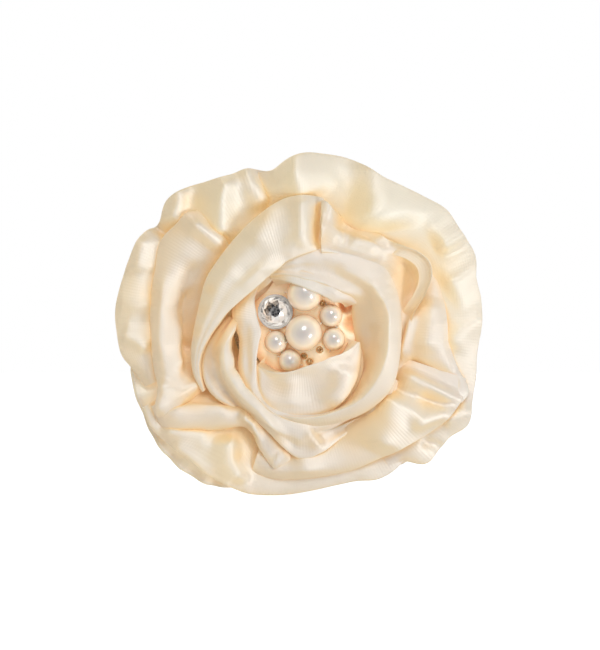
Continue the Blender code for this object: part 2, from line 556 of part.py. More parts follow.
def tube(points, radius, sides=8):
    """A round wire along points that stay roughly square to Z."""
    loops = []
    for i, point in enumerate(points):
        along = (points[min(i + 1, len(points) - 1)] - points[max(i - 1, 0)]).normalized()
        side = along.cross(Vector((0.0, 0.0, 1.0))).normalized()
        over = along.cross(side)
        spots = arc((0.0, 0.0), radius, 0.0, 360.0, sides)[:-1]
        loops.append([point + x * side + y * over for x, y in spots])
    return skin(loops)


def clip():
    fixed_arm()
    moving_arm()
    hinge_pin()
    wire = tube(spring_path(), SPRING_WIRE / 2)
    add_object("clip_spring", wire, "steel", STEEL, at=(HINGE_X, HINGE_Y, 0.0))


def felt_keeper():
    """A felt strap over the fixed arm that holds it down on the backing."""
    arm = CLIP_WIDTH / 2 + GAP
    low, high, end = GAP / 2, GAP + CLIP_SHEET + GAP, arm + STRAP_FLAP
    half = [(end, low), (end, low + STRAP_THICKNESS), (arm + 1.0, low + STRAP_THICKNESS),
            (arm + 0.4, high + STRAP_THICKNESS)]
    mirrored = [(-z, y) for z, y in half[::-1]]
    section = [(-arm, low), (-arm, high), (arm, high), (arm, low), *half, *mirrored]
    loops = [[(x, y, z) for z, y in section] for x in (STRAP_FROM, STRAP_TO)]
    add_object("felt_keeper_strap", skin(loops), "felt", FELT)


def move_to_origin():
    for obj in bpy.data.objects:
        obj.location.y += DEPTH_CENTRE * MM


def main():
    clear_scene()
    backing()
    ruffle()
    for name, shape in STRIPS.items():
        satin_strip(name, shape["foot"], shape["lean"], shape["rows"])
    beads()
    stone_and_setting()
    clip()
    felt_keeper()
    move_to_origin()


main()
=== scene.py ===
"""Looks for the satin rose hair clip: cloth petals, beads, cut stone, felt, stitches and steel clip.

The CAD frame gives every place. Flower coordinates are across, up and height over the felt's rear face. All
lengths in this file are in millimetres unless it says otherwise. Petals are given round the flower's axis
by angle (degrees, anticlockwise from across, as seen from the front), radius and height.
"""
import json
import math

import bmesh
import bpy
import numpy as np
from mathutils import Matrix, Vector

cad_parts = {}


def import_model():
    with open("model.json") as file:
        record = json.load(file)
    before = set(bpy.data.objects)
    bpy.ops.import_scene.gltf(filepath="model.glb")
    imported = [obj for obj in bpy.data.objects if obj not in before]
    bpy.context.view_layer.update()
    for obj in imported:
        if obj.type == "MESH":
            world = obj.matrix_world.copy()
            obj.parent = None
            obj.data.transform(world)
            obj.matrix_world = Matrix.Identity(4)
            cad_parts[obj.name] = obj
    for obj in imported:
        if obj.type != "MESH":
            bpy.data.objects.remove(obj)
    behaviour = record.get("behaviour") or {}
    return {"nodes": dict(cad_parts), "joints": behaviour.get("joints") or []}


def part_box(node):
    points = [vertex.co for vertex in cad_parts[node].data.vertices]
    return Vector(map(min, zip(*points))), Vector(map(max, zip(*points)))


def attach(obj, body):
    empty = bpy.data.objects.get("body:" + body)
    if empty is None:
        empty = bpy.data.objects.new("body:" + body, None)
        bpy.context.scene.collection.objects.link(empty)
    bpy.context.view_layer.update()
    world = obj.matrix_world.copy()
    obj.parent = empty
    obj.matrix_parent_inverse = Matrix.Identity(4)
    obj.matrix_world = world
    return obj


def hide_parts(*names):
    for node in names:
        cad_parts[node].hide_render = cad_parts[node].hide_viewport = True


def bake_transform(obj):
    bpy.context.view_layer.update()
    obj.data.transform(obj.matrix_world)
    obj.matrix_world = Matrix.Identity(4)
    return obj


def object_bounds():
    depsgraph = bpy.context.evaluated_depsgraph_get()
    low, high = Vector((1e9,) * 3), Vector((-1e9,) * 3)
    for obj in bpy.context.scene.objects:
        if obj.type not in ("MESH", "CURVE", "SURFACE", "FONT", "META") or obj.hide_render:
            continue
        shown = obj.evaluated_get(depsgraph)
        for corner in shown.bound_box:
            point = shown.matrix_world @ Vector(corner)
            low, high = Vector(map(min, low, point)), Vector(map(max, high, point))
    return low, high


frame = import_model()
CAD_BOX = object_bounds()

MM = 0.001
TURN = 2 * math.pi
WAVE_PHASES = 6.28                           # random phases are drawn from 0 to here
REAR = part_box("felt_backing")[1].y           # the felt's rear face in metres: heights count from here
FLOOR_Z = CAD_BOX[0].z

STATION = 0.6                                # spacing of the cloth grids along a strip
SECTION_STEP = 0.45                          # and across it
FOOT_HEIGHT = 3.6                            # height at which the strips are sewn down
FOOT_COLUMNS = 8                             # grid columns over which folds grow out of the foot
BULGE_CHORD = 4.0                            # stretches shorter than this bulge less
HEM = ((0.05, -0.7), (-0.9, -1.5), (-3.0, -2.2))    # a strip turns under: steps out and up from its edge
HEM_FORWARD = 0.85                           # folds lift a hem towards the viewer, not outwards
GATHER = 0.06                                # height of the soft gathers
GATHER_WAVES = ((11.0, 0.9), (6.3, 0.6), (3.7, 0.2))     # their pitches and shares
FOLD_GAIN = 1.4                              # all folds are higher than their table says by this
FOLD_FADE = 0.25                             # share of a fold's length over which it fades at each end
CREST_SOFT = 0.2                             # roundness of a fold's crest
SIDE_BLEND = 0.25                            # half width of the change between a fold's two sides
EVERYWHERE = (-99, 99)

HEART_LOW = 8.2                              # height of the satin heart's rim
PAD_RISE = 3.2                               # how far the heart stands up between the beads
HEART_OVERLAP = 4.4                          # how far it reaches under the petals
HEART_GAPS = ((10.4, 4.2, 1.6, 5.0), (11.6, 0.2, 2.0, 3.0))     # gaps beside it: across, up, reach, depth
RUFFLE_FOOT = 15.0                           # radius at which the ruffle is gathered
RUFFLE_PLEATS = 46
STITCH_COUNT = 44
STITCH_DENT = 0.22                           # how far each whip stitch pulls the felt's rim in
FUZZ_COUNT = 1500
FUZZ_HALF_WIDTH = 0.02
THREAD = 0.16                                # radius of the sewing thread
BEAD_THREAD = 0.13                           # and of the thread that carries a pearl
DRILL = 0.22                                 # radius of the lip of a pearl's hole
STRAP_HALF_THICKNESS = 0.44
SPRING_WIRE = 0.6
SPRING_COIL = 1.4                            # radius of the coil's middle line
SPRING_TURNS = 4.5


def strip(foot, lean, crisp, bulge, rows, stop=EVERYWHERE):
    """One folded ribbon.

    From its foot radius on the base it bends ("lean": shares of the way out and up to the first edge),
    comes into view at its first edge and goes out to its last one, where it turns under. "crisp" tells how
    sharply each edge or crest is creased (0 smooth, 1 sharp), "bulge" how far the cloth stands out between
    them. "rows" hold an angle and then the radius and height of each edge. "stop" says how far across it
    may reach.
    """
    rows = np.array(rows, float)
    return {"foot": foot, "lean": lean, "crisp": crisp, "bulge": bulge, "rows": rows, "stop": stop}


PETALS = {
    "petal_centre_lower": strip(11.3, (0.1, 0.6), (0.9, 0.0, 0.6), (-0.5, 0.5), (
        (224, 12.8, 13.6, 13.0, 13.4, 13.4, 13.2), (232, 12.5, 14.4, 13.6, 14.0, 15.2, 12.6),
        (241, 12.0, 15.2, 15.2, 13.6, 18.4, 12.4), (256, 10.8, 15.8, 15.6, 13.3, 20.1, 12.6),
        (271, 9.6, 16.2, 15.0, 13.3, 20.3, 12.8), (286, 9.2, 16.3, 14.8, 13.4, 20.3, 12.8),
        (300, 9.4, 16.3, 14.6, 13.8, 19.2, 12.8), (315, 10.1, 16.0, 14.2, 14.6, 17.4, 13.2),
        (330, 11.9, 15.2, 13.8, 14.8, 15.4, 13.6), (343, 13.4, 14.0, 13.6, 14.0, 13.8, 13.6))),
    "petal_centre_left": strip(12.2, (0.3, 0.6), (0.9, 0.0, 0.4), (0.2, 0.3), (
        (122, 12.6, 11.6, 13.0, 11.8, 13.6, 11.4), (138, 12.0, 12.6, 12.6, 12.5, 13.2, 12.0),
        (150, 11.3, 13.4, 12.6, 13.4, 13.8, 12.2), (165, 9.7, 14.3, 12.6, 14.2, 15.1, 12.4),
        (180, 8.8, 14.8, 11.6, 14.8, 14.4, 12.6), (192, 8.5, 15.0, 11.2, 14.9, 13.6, 12.8),
        (205, 9.8, 15.0, 12.4, 14.7, 14.6, 12.8), (218, 11.8, 14.8, 14.6, 14.4, 17.2, 12.8),
        (228, 14.1, 14.4, 16.6, 14.2, 18.9, 12.8), (238, 17.3, 13.8, 18.8, 13.9, 19.9, 12.6),
        (248, 19.3, 13.4, 20.0, 13.5, 20.5, 12.6), (262, 19.8, 13.2, 20.5, 13.3, 21.0, 12.4),
        (280, 19.9, 13.0, 20.6, 13.2, 21.1, 12.4), (297, 18.8, 12.6, 19.6, 12.9, 20.3, 12.2),
        (310, 17.2, 12.2, 18.0, 12.5, 18.8, 12.0), (325, 15.4, 11.8, 16.2, 12.2, 17.0, 11.8),
        (340, 13.4, 11.0, 13.8, 11.2, 14.2, 11.0))),
    "wrap_cup": strip(13.2, (0.4, 0.6), (0.0, 0.25, 0.5), (-1.0, 0.4), (
        (-104, 18.6, 9.5, 20.4, 13.4, 21.4, 11.8), (-95, 18.2, 9.5, 20.4, 14.0, 21.8, 12.0),
        (-80, 17.8, 9.5, 20.6, 14.8, 22.6, 12.0), (-65, 17.2, 9.5, 20.8, 15.5, 23.3, 12.4),
        (-50, 15.8, 9.3, 21.2, 16.6, 24.2, 12.6), (-35, 14.2, 9.0, 20.8, 17.6, 24.5, 13.0),
        (-20, 12.8, 8.8, 20.3, 18.6, 23.2, 13.5), (-5, 11.8, 8.8, 19.6, 19.0, 22.3, 13.6),
        (8, 11.6, 9.2, 19.6, 19.0, 22.3, 14.0), (18, 12.0, 11.0, 18.9, 18.7, 22.4, 14.8),
        (26, 12.9, 14.0, 18.0, 18.3, 22.5, 15.6), (33, 12.3, 15.4, 17.0, 17.8, 22.4, 16.4),
        (45, 11.0, 16.4, 15.8, 17.6, 20.2, 17.0), (60, 10.4, 17.2, 14.4, 17.6, 18.2, 17.2),
        (80, 10.1, 17.6, 13.4, 17.6, 17.0, 17.0), (100, 10.9, 17.0, 13.2, 17.2, 16.0, 16.6),
        (117, 12.4, 15.6, 13.2, 16.0, 14.6, 16.0), (128, 13.0, 14.2, 13.4, 14.6, 14.0, 15.2),
        (142, 13.6, 13.0, 13.9, 13.2, 14.4, 13.4))),
    "wrap_cup fold": strip(11.0, (0.15, 0.7), (0.5, 0.0, 0.3), (0.2, 0.2), (
        (20, 12.4, 12.6, 13.0, 13.0, 13.6, 12.6), (25, 11.2, 13.6, 12.2, 14.1, 13.4, 13.6),
        (30, 9.3, 14.6, 11.0, 15.1, 12.6, 14.6), (42, 8.3, 15.7, 10.0, 16.0, 11.6, 15.2),
        (57, 7.8, 16.7, 9.4, 16.8, 11.2, 16.0), (75, 7.7, 17.6, 9.4, 17.5, 11.4, 16.6),
        (90, 8.2, 17.5, 10.0, 17.3, 11.8, 16.4), (106, 9.6, 16.7, 11.0, 16.4, 12.2, 15.6),
        (122, 11.8, 14.4, 12.2, 14.4, 12.8, 14.0))),
    "wrap_spiral": strip(14.6, (0.62, 0.55), (0.7, 0.0, 0.2), (0.3, -0.6), (
        (174, 13.2, 12.6, 14.4, 12.6, 15.6, 11.4), (186, 14.4, 14.6, 16.2, 14.0, 18.8, 11.8),
        (196, 16.5, 15.4, 18.6, 14.0, 21.8, 11.8), (207, 18.0, 15.7, 20.2, 13.8, 23.9, 11.4),
        (216, 18.6, 15.7, 20.8, 14.0, 24.6, 11.0), (230, 19.5, 15.2, 21.2, 14.2, 23.8, 11.2),
        (243, 20.2, 14.4, 21.4, 13.9, 23.0, 11.4), (255, 20.8, 13.9, 22.6, 13.6, 24.7, 11.0),
        (263, 21.2, 13.5, 24.0, 12.8, 27.4, 10.4), (270, 21.5, 13.2, 25.0, 12.6, 29.5, 10.0),
        (280, 21.8, 12.6, 24.9, 12.2, 28.5, 10.0), (289, 22.2, 11.8, 24.5, 11.6, 26.8, 10.0),
        (300, 22.8, 11.4, 24.5, 11.3, 26.0, 10.0), (310, 23.6, 11.2, 25.0, 11.1, 26.3, 9.9),
        (320, 24.0, 11.0, 25.2, 10.9, 26.4, 9.8), (330, 23.6, 10.8, 24.6, 10.6, 25.6, 9.6))),
    "wrap_broad": strip(15.6, (0.8, 0.45), (0.85, 0.0, 0.0, 0.5), (0.3, -0.2, 0.5), (
        (66, 17.4, 15.6, 19.0, 15.6, 22.5, 15.2, 26.2, 13.4),
        (75, 16.6, 17.4, 18.6, 17.6, 22.5, 17.0, 27.6, 14.4),
        (85, 15.6, 18.0, 18.0, 18.6, 22.0, 18.2, 28.1, 15.0),
        (95, 14.5, 18.2, 17.2, 18.9, 21.5, 18.4, 27.7, 15.2),
        (110, 13.2, 18.2, 16.0, 19.1, 20.2, 18.6, 25.4, 15.2),
        (125, 12.3, 18.2, 15.0, 18.9, 18.8, 18.4, 23.6, 14.8),
        (140, 12.3, 18.1, 15.0, 18.7, 18.6, 18.2, 22.7, 14.4),
        (155, 13.5, 17.7, 15.8, 18.2, 19.0, 17.8, 22.6, 14.0),
        (168, 15.3, 17.2, 17.0, 17.6, 19.4, 17.2, 22.3, 13.4),
        (183, 18.5, 16.2, 19.6, 16.5, 21.2, 16.2, 23.1, 13.0),
        (196, 22.2, 14.6, 22.8, 14.7, 23.6, 14.4, 24.7, 12.4),
        (205, 24.2, 13.0, 24.6, 13.0, 25.1, 12.8, 25.7, 11.4),
        (215, 25.5, 10.8, 25.6, 10.8, 25.8, 10.7, 26.0, 10.2)), (-99, 5.3)),
    "wrap_rolled": strip(15.6, (0.55, 0.6), (0.0, 0.0, 0.7), (-0.5, -0.6), (
        (-12, 22.4, 10.6, 22.8, 10.4, 23.4, 10.4), (0, 22.0, 11.5, 22.8, 11.2, 24.2, 12.0),
        (7, 21.9, 12.0, 23.4, 11.0, 25.6, 13.4), (14, 22.2, 11.6, 25.4, 9.6, 28.4, 15.0),
        (20, 22.4, 11.8, 26.6, 9.4, 30.7, 15.8), (26, 22.4, 12.6, 26.8, 9.6, 31.4, 16.0),
        (31, 22.3, 14.0, 26.4, 10.6, 30.4, 15.8), (37, 21.6, 16.0, 25.0, 12.6, 28.4, 15.2),
        (43, 20.2, 16.6, 23.4, 13.2, 26.8, 11.8), (50, 19.0, 17.0, 22.4, 13.4, 26.2, 9.4),
        (57, 18.0, 17.4, 21.8, 13.6, 25.8, 8.8), (63, 17.6, 17.6, 21.6, 13.4, 25.6, 8.6),
        (68, 17.2, 17.9, 21.2, 14.6, 25.2, 9.6), (72, 17.0, 18.3, 21.4, 17.4, 25.6, 13.8),
        (75, 16.8, 18.8, 21.6, 19.2, 26.4, 16.8), (78, 16.6, 19.0, 21.6, 19.6, 27.4, 17.4),
        (81.5, 16.6, 18.2, 21.6, 18.6, 27.0, 16.4), (83, 16.7, 16.6, 21.6, 16.6, 26.6, 14.8)), (4.7, 99)),
    "band_left": strip(17.4, (0.5, 0.4), (0.3, 0.0, 0.5), (0.5, 0.6), (
        (131.5, 23.0, 11.2, 28.0, 11.8, 33.4, 10.0), (135, 22.9, 11.8, 28.5, 13.4, 34.6, 10.9),
        (141, 22.8, 11.2, 28.8, 13.0, 34.8, 10.0), (149, 23.0, 10.6, 29.0, 12.8, 35.4, 9.4),
        (160, 23.5, 10.0, 29.0, 12.6, 33.8, 9.0), (172, 24.2, 9.8, 29.3, 12.4, 33.1, 9.0),
        (185, 25.6, 9.8, 29.8, 12.2, 32.7, 8.8), (198, 27.4, 9.8, 30.8, 11.8, 33.5, 8.7),
        (206, 27.6, 10.2, 31.2, 11.6, 34.2, 8.6), (211.5, 26.4, 10.6, 32.0, 11.4, 36.9, 9.2),
        (215, 31.0, 9.6, 34.6, 10.0, 37.3, 8.4))),
    "band_lower_left": strip(17.2, (0.5, 0.5), (0.6, 0.0, 0.6), (0.4, 0.4), (
        (209, 34.2, 9.2, 35.8, 9.6, 37.2, 8.4), (214, 32.6, 9.8, 35.0, 10.6, 37.6, 8.4),
        (219, 29.4, 10.2, 33.2, 11.0, 37.3, 8.2), (226, 25.4, 10.4, 28.8, 11.0, 32.6, 8.4),
        (234, 22.9, 10.6, 25.6, 10.9, 28.4, 8.8), (241, 22.2, 10.8, 24.0, 10.8, 25.7, 9.2),
        (248, 22.4, 10.4, 24.8, 10.6, 26.8, 9.0), (254, 23.6, 9.8, 27.0, 10.2, 29.4, 8.4),
        (260, 25.4, 9.4, 29.0, 9.8, 31.8, 8.0), (266, 27.4, 8.8, 30.4, 9.0, 32.8, 7.6))),
    "band_lower": strip(18.4, (0.35, 0.6), (0.0, 0.0, 0.5), (0.3, 0.5), (
        (252, 28.6, 7.4, 31.6, 8.2, 34.0, 6.8), (260, 29.0, 7.8, 32.0, 9.2, 34.4, 7.0),
        (268, 29.2, 8.2, 32.0, 9.4, 34.0, 7.0), (280, 28.2, 8.6, 31.2, 9.6, 33.7, 7.2),
        (290, 26.4, 9.0, 30.6, 9.9, 34.0, 7.3), (300, 25.6, 9.4, 30.2, 10.0, 34.2, 7.6),
        (310, 26.0, 9.4, 30.6, 10.2, 35.2, 8.2), (320, 26.2, 9.3, 31.4, 10.4, 37.0, 8.6),
        (328, 25.6, 9.2, 31.6, 10.3, 38.4, 9.0), (336, 25.0, 9.0, 31.6, 10.0, 39.2, 9.2),
        (342, 24.4, 8.6, 30.8, 9.4, 38.4, 8.8))),
    "band_right": strip(17.2, (0.5, 0.45), (0.0, 0.0, 0.6), (0.3, 0.5), (
        (-26, 23.4, 9.2, 30.0, 10.2, 39.4, 9.4), (-22, 23.4, 9.6, 30.0, 10.8, 40.0, 9.6),
        (-15, 22.8, 9.8, 28.5, 11.2, 35.8, 9.2), (-8, 22.4, 10.0, 27.5, 11.4, 33.2, 9.0),
        (0, 22.4, 10.0, 27.6, 11.2, 32.2, 9.0), (8, 23.4, 9.6, 28.2, 10.6, 32.0, 9.0),
        (16, 25.4, 9.2, 29.0, 9.8, 32.0, 8.8), (24, 27.0, 8.6, 29.6, 9.0, 31.8, 8.2))),
    "petal_top": strip(20.0, (0.5, 0.5), (0.0, 0.0, 0.5), (0.4, 0.4), (
        (-26, 30.0, 6.6, 35.5, 7.2, 41.4, 6.4), (-18, 30.0, 7.0, 35.5, 8.0, 40.6, 6.6),
        (-10, 29.6, 7.2, 35.0, 8.6, 39.5, 6.6), (0, 28.8, 7.6, 35.0, 9.0, 39.8, 7.0),
        (8, 28.4, 7.8, 35.0, 9.4, 40.1, 7.2), (15, 28.8, 8.0, 35.2, 9.2, 39.8, 7.2),
        (22, 29.4, 8.4, 36.0, 9.8, 41.3, 7.6), (30, 29.4, 8.8, 36.0, 9.8, 40.5, 7.6),
        (38, 27.0, 9.6, 34.5, 11.2, 40.7, 8.2), (45, 25.6, 10.0, 33.0, 11.6, 39.0, 8.6),
        (53, 25.0, 10.2, 31.5, 11.4, 37.4, 8.6), (60, 25.2, 9.8, 31.0, 10.4, 36.6, 8.2),
        (68, 25.6, 9.4, 31.6, 10.0, 37.3, 8.2), (75, 26.0, 10.0, 32.0, 11.0, 37.7, 8.8),
        (82, 26.4, 10.8, 32.2, 12.2, 37.5, 9.2), (88, 26.6, 11.0, 32.0, 12.8, 37.2, 9.6),
        (95, 26.0, 10.8, 31.0, 13.0, 35.7, 9.8), (100, 25.4, 10.4, 30.0, 12.8, 34.2, 9.8),
        (105, 25.0, 9.6, 29.6, 11.4, 34.4, 9.4), (109, 25.0, 8.4, 29.4, 9.2, 34.4, 8.2))),
    "petal_left": strip(20.0, (0.5, 0.5), (0.0, 0.0, 0.5), (0.3, 0.4), (
        (96, 25.6, 8.0, 29.6, 8.6, 33.4, 7.4), (102, 25.0, 8.8, 29.6, 9.8, 34.2, 8.0),
        (109, 24.4, 9.6, 30.0, 11.2, 35.7, 8.2), (115, 23.8, 9.8, 29.8, 11.0, 35.8, 8.0),
        (122, 23.2, 9.4, 30.0, 10.2, 36.8, 7.4), (130, 22.8, 8.8, 30.6, 9.0, 38.8, 7.2),
        (137, 24.0, 7.6, 32.0, 8.4, 39.7, 6.8), (144, 31.0, 7.2, 35.2, 7.9, 38.2, 6.4),
        (150, 32.0, 7.2, 36.0, 8.0, 39.7, 6.3), (160, 31.4, 7.2, 36.2, 8.4, 39.9, 6.2),
        (170, 30.4, 7.2, 36.0, 8.6, 40.2, 6.2), (177, 30.0, 7.2, 35.8, 8.4, 40.5, 6.2),
        (184, 30.0, 7.2, 35.6, 8.2, 40.0, 6.2), (190, 30.6, 7.0, 35.4, 8.0, 39.6, 6.0),
        (195, 31.4, 6.8, 35.0, 7.6, 38.0, 5.8), (202, 32.0, 6.2, 34.6, 6.8, 36.6, 5.4))),
    "petal_lower": strip(20.0, (0.5, 0.5), (0.0, 0.0, 0.5), (0.3, 0.4), (
        (208, 36.4, 6.2, 37.8, 6.8, 38.8, 5.8), (215, 35.4, 6.8, 37.6, 7.4, 39.6, 6.0),
        (222, 32.4, 7.0, 36.0, 7.8, 38.9, 6.0), (230, 28.4, 6.8, 33.4, 7.6, 38.2, 6.0),
        (238, 26.4, 6.4, 32.4, 7.4, 38.7, 6.2), (245, 26.6, 6.2, 32.4, 7.6, 38.6, 6.0),
        (252, 29.0, 5.8, 34.4, 7.0, 38.9, 5.6), (259, 31.4, 5.6, 35.4, 6.6, 38.3, 5.4),
        (266, 31.8, 5.6, 35.0, 6.4, 37.5, 5.3), (274, 31.6, 5.6, 34.4, 6.4, 36.7, 5.3),
        (283, 31.6, 5.6, 34.2, 6.4, 36.3, 5.3), (290, 31.8, 5.7, 34.4, 6.4, 36.7, 5.4),
        (297, 32.4, 5.8, 35.4, 6.5, 38.2, 5.5), (304, 33.0, 5.7, 35.8, 6.3, 38.2, 5.4),
        (310, 33.0, 5.2, 35.4, 5.6, 37.2, 4.8))),
    "petal_lower_right": strip(20.0, (0.5, 0.5), (0.0, 0.0, 0.6), (0.3, 0.4), (
        (302, 33.4, 6.0, 35.6, 6.6, 37.6, 5.6), (307, 33.6, 6.4, 36.0, 7.0, 37.7, 5.8),
        (311.5, 33.8, 6.8, 37.4, 7.6, 41.1, 6.2), (318, 34.4, 7.0, 38.2, 7.8, 41.3, 6.4),
        (323, 35.0, 7.2, 38.6, 7.8, 41.3, 6.4), (329, 35.6, 7.4, 39.6, 7.9, 43.0, 6.6),
        (335, 35.6, 7.4, 39.0, 7.8, 41.7, 6.6), (341, 35.0, 7.0, 38.0, 7.2, 40.6, 6.2))),
}

# Single folds of each strip: places (across, up) along the crest or the hollow, the half width on its left
# as one goes along it, the half width on its right, and the height (below 0 for a hollow).
FOLDS = {
    "petal_left": (
        (((-12.4, 35.5), (-10.2, 30.5), (-7.0, 25.2)), 1.4, 3.0, 2.0),
        (((-15.6, 34.0), (-16.6, 28.0), (-16.6, 22.0), (-14.6, 17.6)), 3.0, 4.6, 3.4),
        (((-26.0, 31.5), (-26.6, 26.0), (-28.6, 21.4)), 1.8, 2.4, 2.0),
        (((-33.0, 22.2), (-29.5, 20.0), (-26.5, 18.4)), 1.2, 0.8, -2.4),
        (((-34.6, 20.0), (-35.2, 15.0), (-35.0, 10.5)), 3.0, 3.0, 1.2),
        (((-41.0, 4.8), (-36.0, 4.4), (-31.5, 4.6)), 4.2, 2.2, 1.1),
        (((-40.0, -2.0), (-35.6, -3.6), (-32.6, -6.0)), 2.6, 1.4, 1.4)),
    "band_left": (
        (((-24.6, 22.8), (-20.4, 20.0), (-16.0, 16.8)), 1.4, 1.6, 1.3),
        (((-22.4, 14.4), (-25.0, 8.0), (-26.4, 0.0)), 1.8, 3.0, -1.0),
        (((-29.6, 12.0), (-30.2, 4.0), (-30.8, -3.0), (-29.6, -9.0)), 1.8, 1.2, 0.8),
        (((-22.6, 9.0), (-23.8, 3.0), (-24.4, -3.0), (-24.8, -9.0)), 1.2, 1.4, -1.6),
        (((-25.4, 1.0), (-26.4, -5.0), (-26.6, -11.0)), 0.8, 1.6, 0.9),
        (((-28.8, -11.5), (-31.0, -16.0), (-31.6, -20.6)), 2.2, 1.2, 1.8)),
    "wrap_broad": (
        (((-5.5, 27.0), (-8.6, 20.5), (-10.6, 16.5)), 2.6, 2.6, 0.5),
        (((0.6, 29.0), (0.8, 22.0), (0.4, 16.0)), 3.0, 2.4, 1.5),
        (((4.6, 27.4), (4.8, 22.0), (4.6, 16.0)), 0.7, 2.0, -1.6),
        (((-14.8, 10.2), (-8.4, 14.2), (-1.0, 15.6)), 2.6, 3.2, -0.35),
        (((-13.4, 7.2), (-8.4, 11.6), (-2.0, 13.6)), 1.0, 1.0, 0.5)),
    "wrap_spiral": (
        (((-13.8, -2.0), (-16.2, -5.4), (-15.8, -10.0), (-12.9, -14.6), (-8.9, -18.6), (-4.9, -23.4),
          (-1.7, -28.6)), 0.9, 1.4, 1.3),
        (((-17.4, -3.5), (-18.6, -7.5), (-17.8, -12.0), (-13.6, -18.0), (-8.6, -23.0)), 0.9, 1.1, -1.4),
        (((-0.6, -26.0), (7.4, -23.4), (16.2, -18.0)), 2.0, 1.4, -1.8),
        (((1.6, -22.8), (4.9, -27.2)), 0.7, 1.6, 1.4)),
    "petal_centre_left": (
        (((-11.4, 1.5), (-11.5, -6.0), (-11.0, -12.5)), 0.8, 0.8, -0.4),),
    "petal_centre_lower": (
        (((9.2, -8.0), (8.8, -13.5), (7.4, -18.8)), 3.4, 3.0, 1.1),
        (((-2.0, -10.8), (-1.6, -18.8)), 2.2, 2.6, 0.7)),
    "wrap_cup": (
        (((14.0, 10.2), (20.6, 9.4)), 0.7, 0.7, 0.3),
        (((15.0, 8.4), (21.2, 7.4)), 0.6, 0.6, 0.3),
        (((15.2, 6.2), (21.6, 5.4)), 0.6, 0.6, 0.3),
        (((-1.5, 12.4), (5.0, 12.8), (10.4, 11.2)), 1.4, 1.4, -0.5),
        (((16.2, 1.0), (15.2, -5.0), (11.5, -12.0)), 1.8, 1.8, -0.9)),
    "wrap_cup fold": (
        (((6.0, 8.6), (9.0, 6.4)), 1.0, 1.0, 0.4),),
    "wrap_rolled": (
        (((6.4, 27.4), (7.2, 21.4), (9.6, 16.4)), 1.6, 0.8, 0.9),
        (((13.0, 25.6), (15.4, 20.6), (19.0, 16.4)), 3.0, 3.4, 1.3),
        (((9.4, 18.0), (15.0, 17.2), (21.0, 15.6)), 1.6, 1.6, 0.8)),
    "petal_top": (
        (((-1.2, 39.6), (-0.8, 33.0), (0.8, 26.5)), 5.0, 3.0, 2.4),
        (((17.6, 37.0), (16.6, 29.0), (17.6, 19.6)), 8.0, 5.5, 3.6),
        (((39.5, 22.0), (34.0, 18.6), (29.4, 16.0)), 1.6, 4.0, 2.4),
        (((41.5, 14.0), (35.5, 10.3), (31.0, 7.9)), 4.6, 2.4, 2.0),
        (((42.0, 2.5), (35.5, -1.5), (32.4, -6.0)), 3.0, 2.2, 1.3)),
    "band_right": (
        (((25.0, 3.0), (23.2, -3.9), (22.2, -8.4)), 0.8, 0.8, 0.9),
        (((30.0, 6.4), (28.6, -1.0), (27.6, -7.0)), 2.6, 2.4, 1.3),
        (((31.4, 4.0), (31.2, -5.0), (33.6, -12.6)), 0.8, 2.2, 0.8),
        (((21.0, -8.6), (27.6, -11.0), (35.4, -14.2)), 2.4, 1.0, -2.6)),
    "band_lower": (
        (((21.6, -10.2), (28.0, -13.4), (36.0, -17.0)), 0.9, 2.6, 1.9),
        (((25.0, -15.6), (31.0, -17.4), (36.6, -18.4)), 1.3, 1.3, -1.3),
        (((23.6, -22.8), (30.0, -20.4), (37.2, -18.4)), 2.2, 1.2, 2.0),
        (((22.6, -14.4), (20.4, -20.6), (17.4, -29.0)), 5.4, 4.6, 2.6),
        (((1.0, -26.4), (1.6, -33.4)), 3.0, 3.0, 1.0)),
    "petal_lower_right": (
        (((31.0, -21.6), (38.4, -18.4)), 1.6, 1.6, 1.2),
        (((26.4, -25.6), (31.5, -27.0)), 1.2, 1.2, -0.9)),
    "band_lower_left": (
        (((-12.6, -21.6), (-10.2, -24.6), (-13.0, -27.2), (-12.6, -29.0), (-9.7, -31.6),
          (-6.6, -34.0)), 0.8, 1.0, -2.0),
        (((-13.4, -19.4), (-10.2, -21.8), (-8.8, -26.2)), 1.0, 0.8, 1.4),
        (((-11.6, -25.6), (-9.6, -29.6), (-5.6, -32.6)), 2.0, 0.7, 1.5),
        (((-3.0, -27.6), (-7.4, -33.4)), 1.0, 0.9, 1.1),
        (((-30.6, -19.6), (-24.0, -18.4), (-18.0, -18.6), (-13.4, -19.6)), 0.7, 1.6, 0.9)),
    "petal_lower": (
        (((-31.0, -23.0), (-25.5, -23.8), (-18.6, -24.4)), 0.7, 2.0, 1.6),
        (((-15.2, -23.6), (-15.0, -30.0), (-12.0, -35.4)), 1.5, 5.4, 3.0),
        (((-29.0, -25.6), (-24.6, -29.6), (-20.6, -35.0)), 2.4, 2.0, 1.6),
        (((-34.6, -14.0), (-34.4, -21.0), (-31.4, -27.4)), 2.2, 1.6, 1.4)),
}

SATIN_SHINE = 0.24
SATIN_ROUGH = 0.52
SATIN_THROUGH = 0.42
WARM_SIDE = (0.52, -0.85, 0.08)              # towards the lights: cloth facing away looks warmer
# painted glow on cloth that faces away from the lights
FLANK_GLOW = 0.02
SATIN_GLOW = 0.11                            # light the real cloth scatters into its own hollows

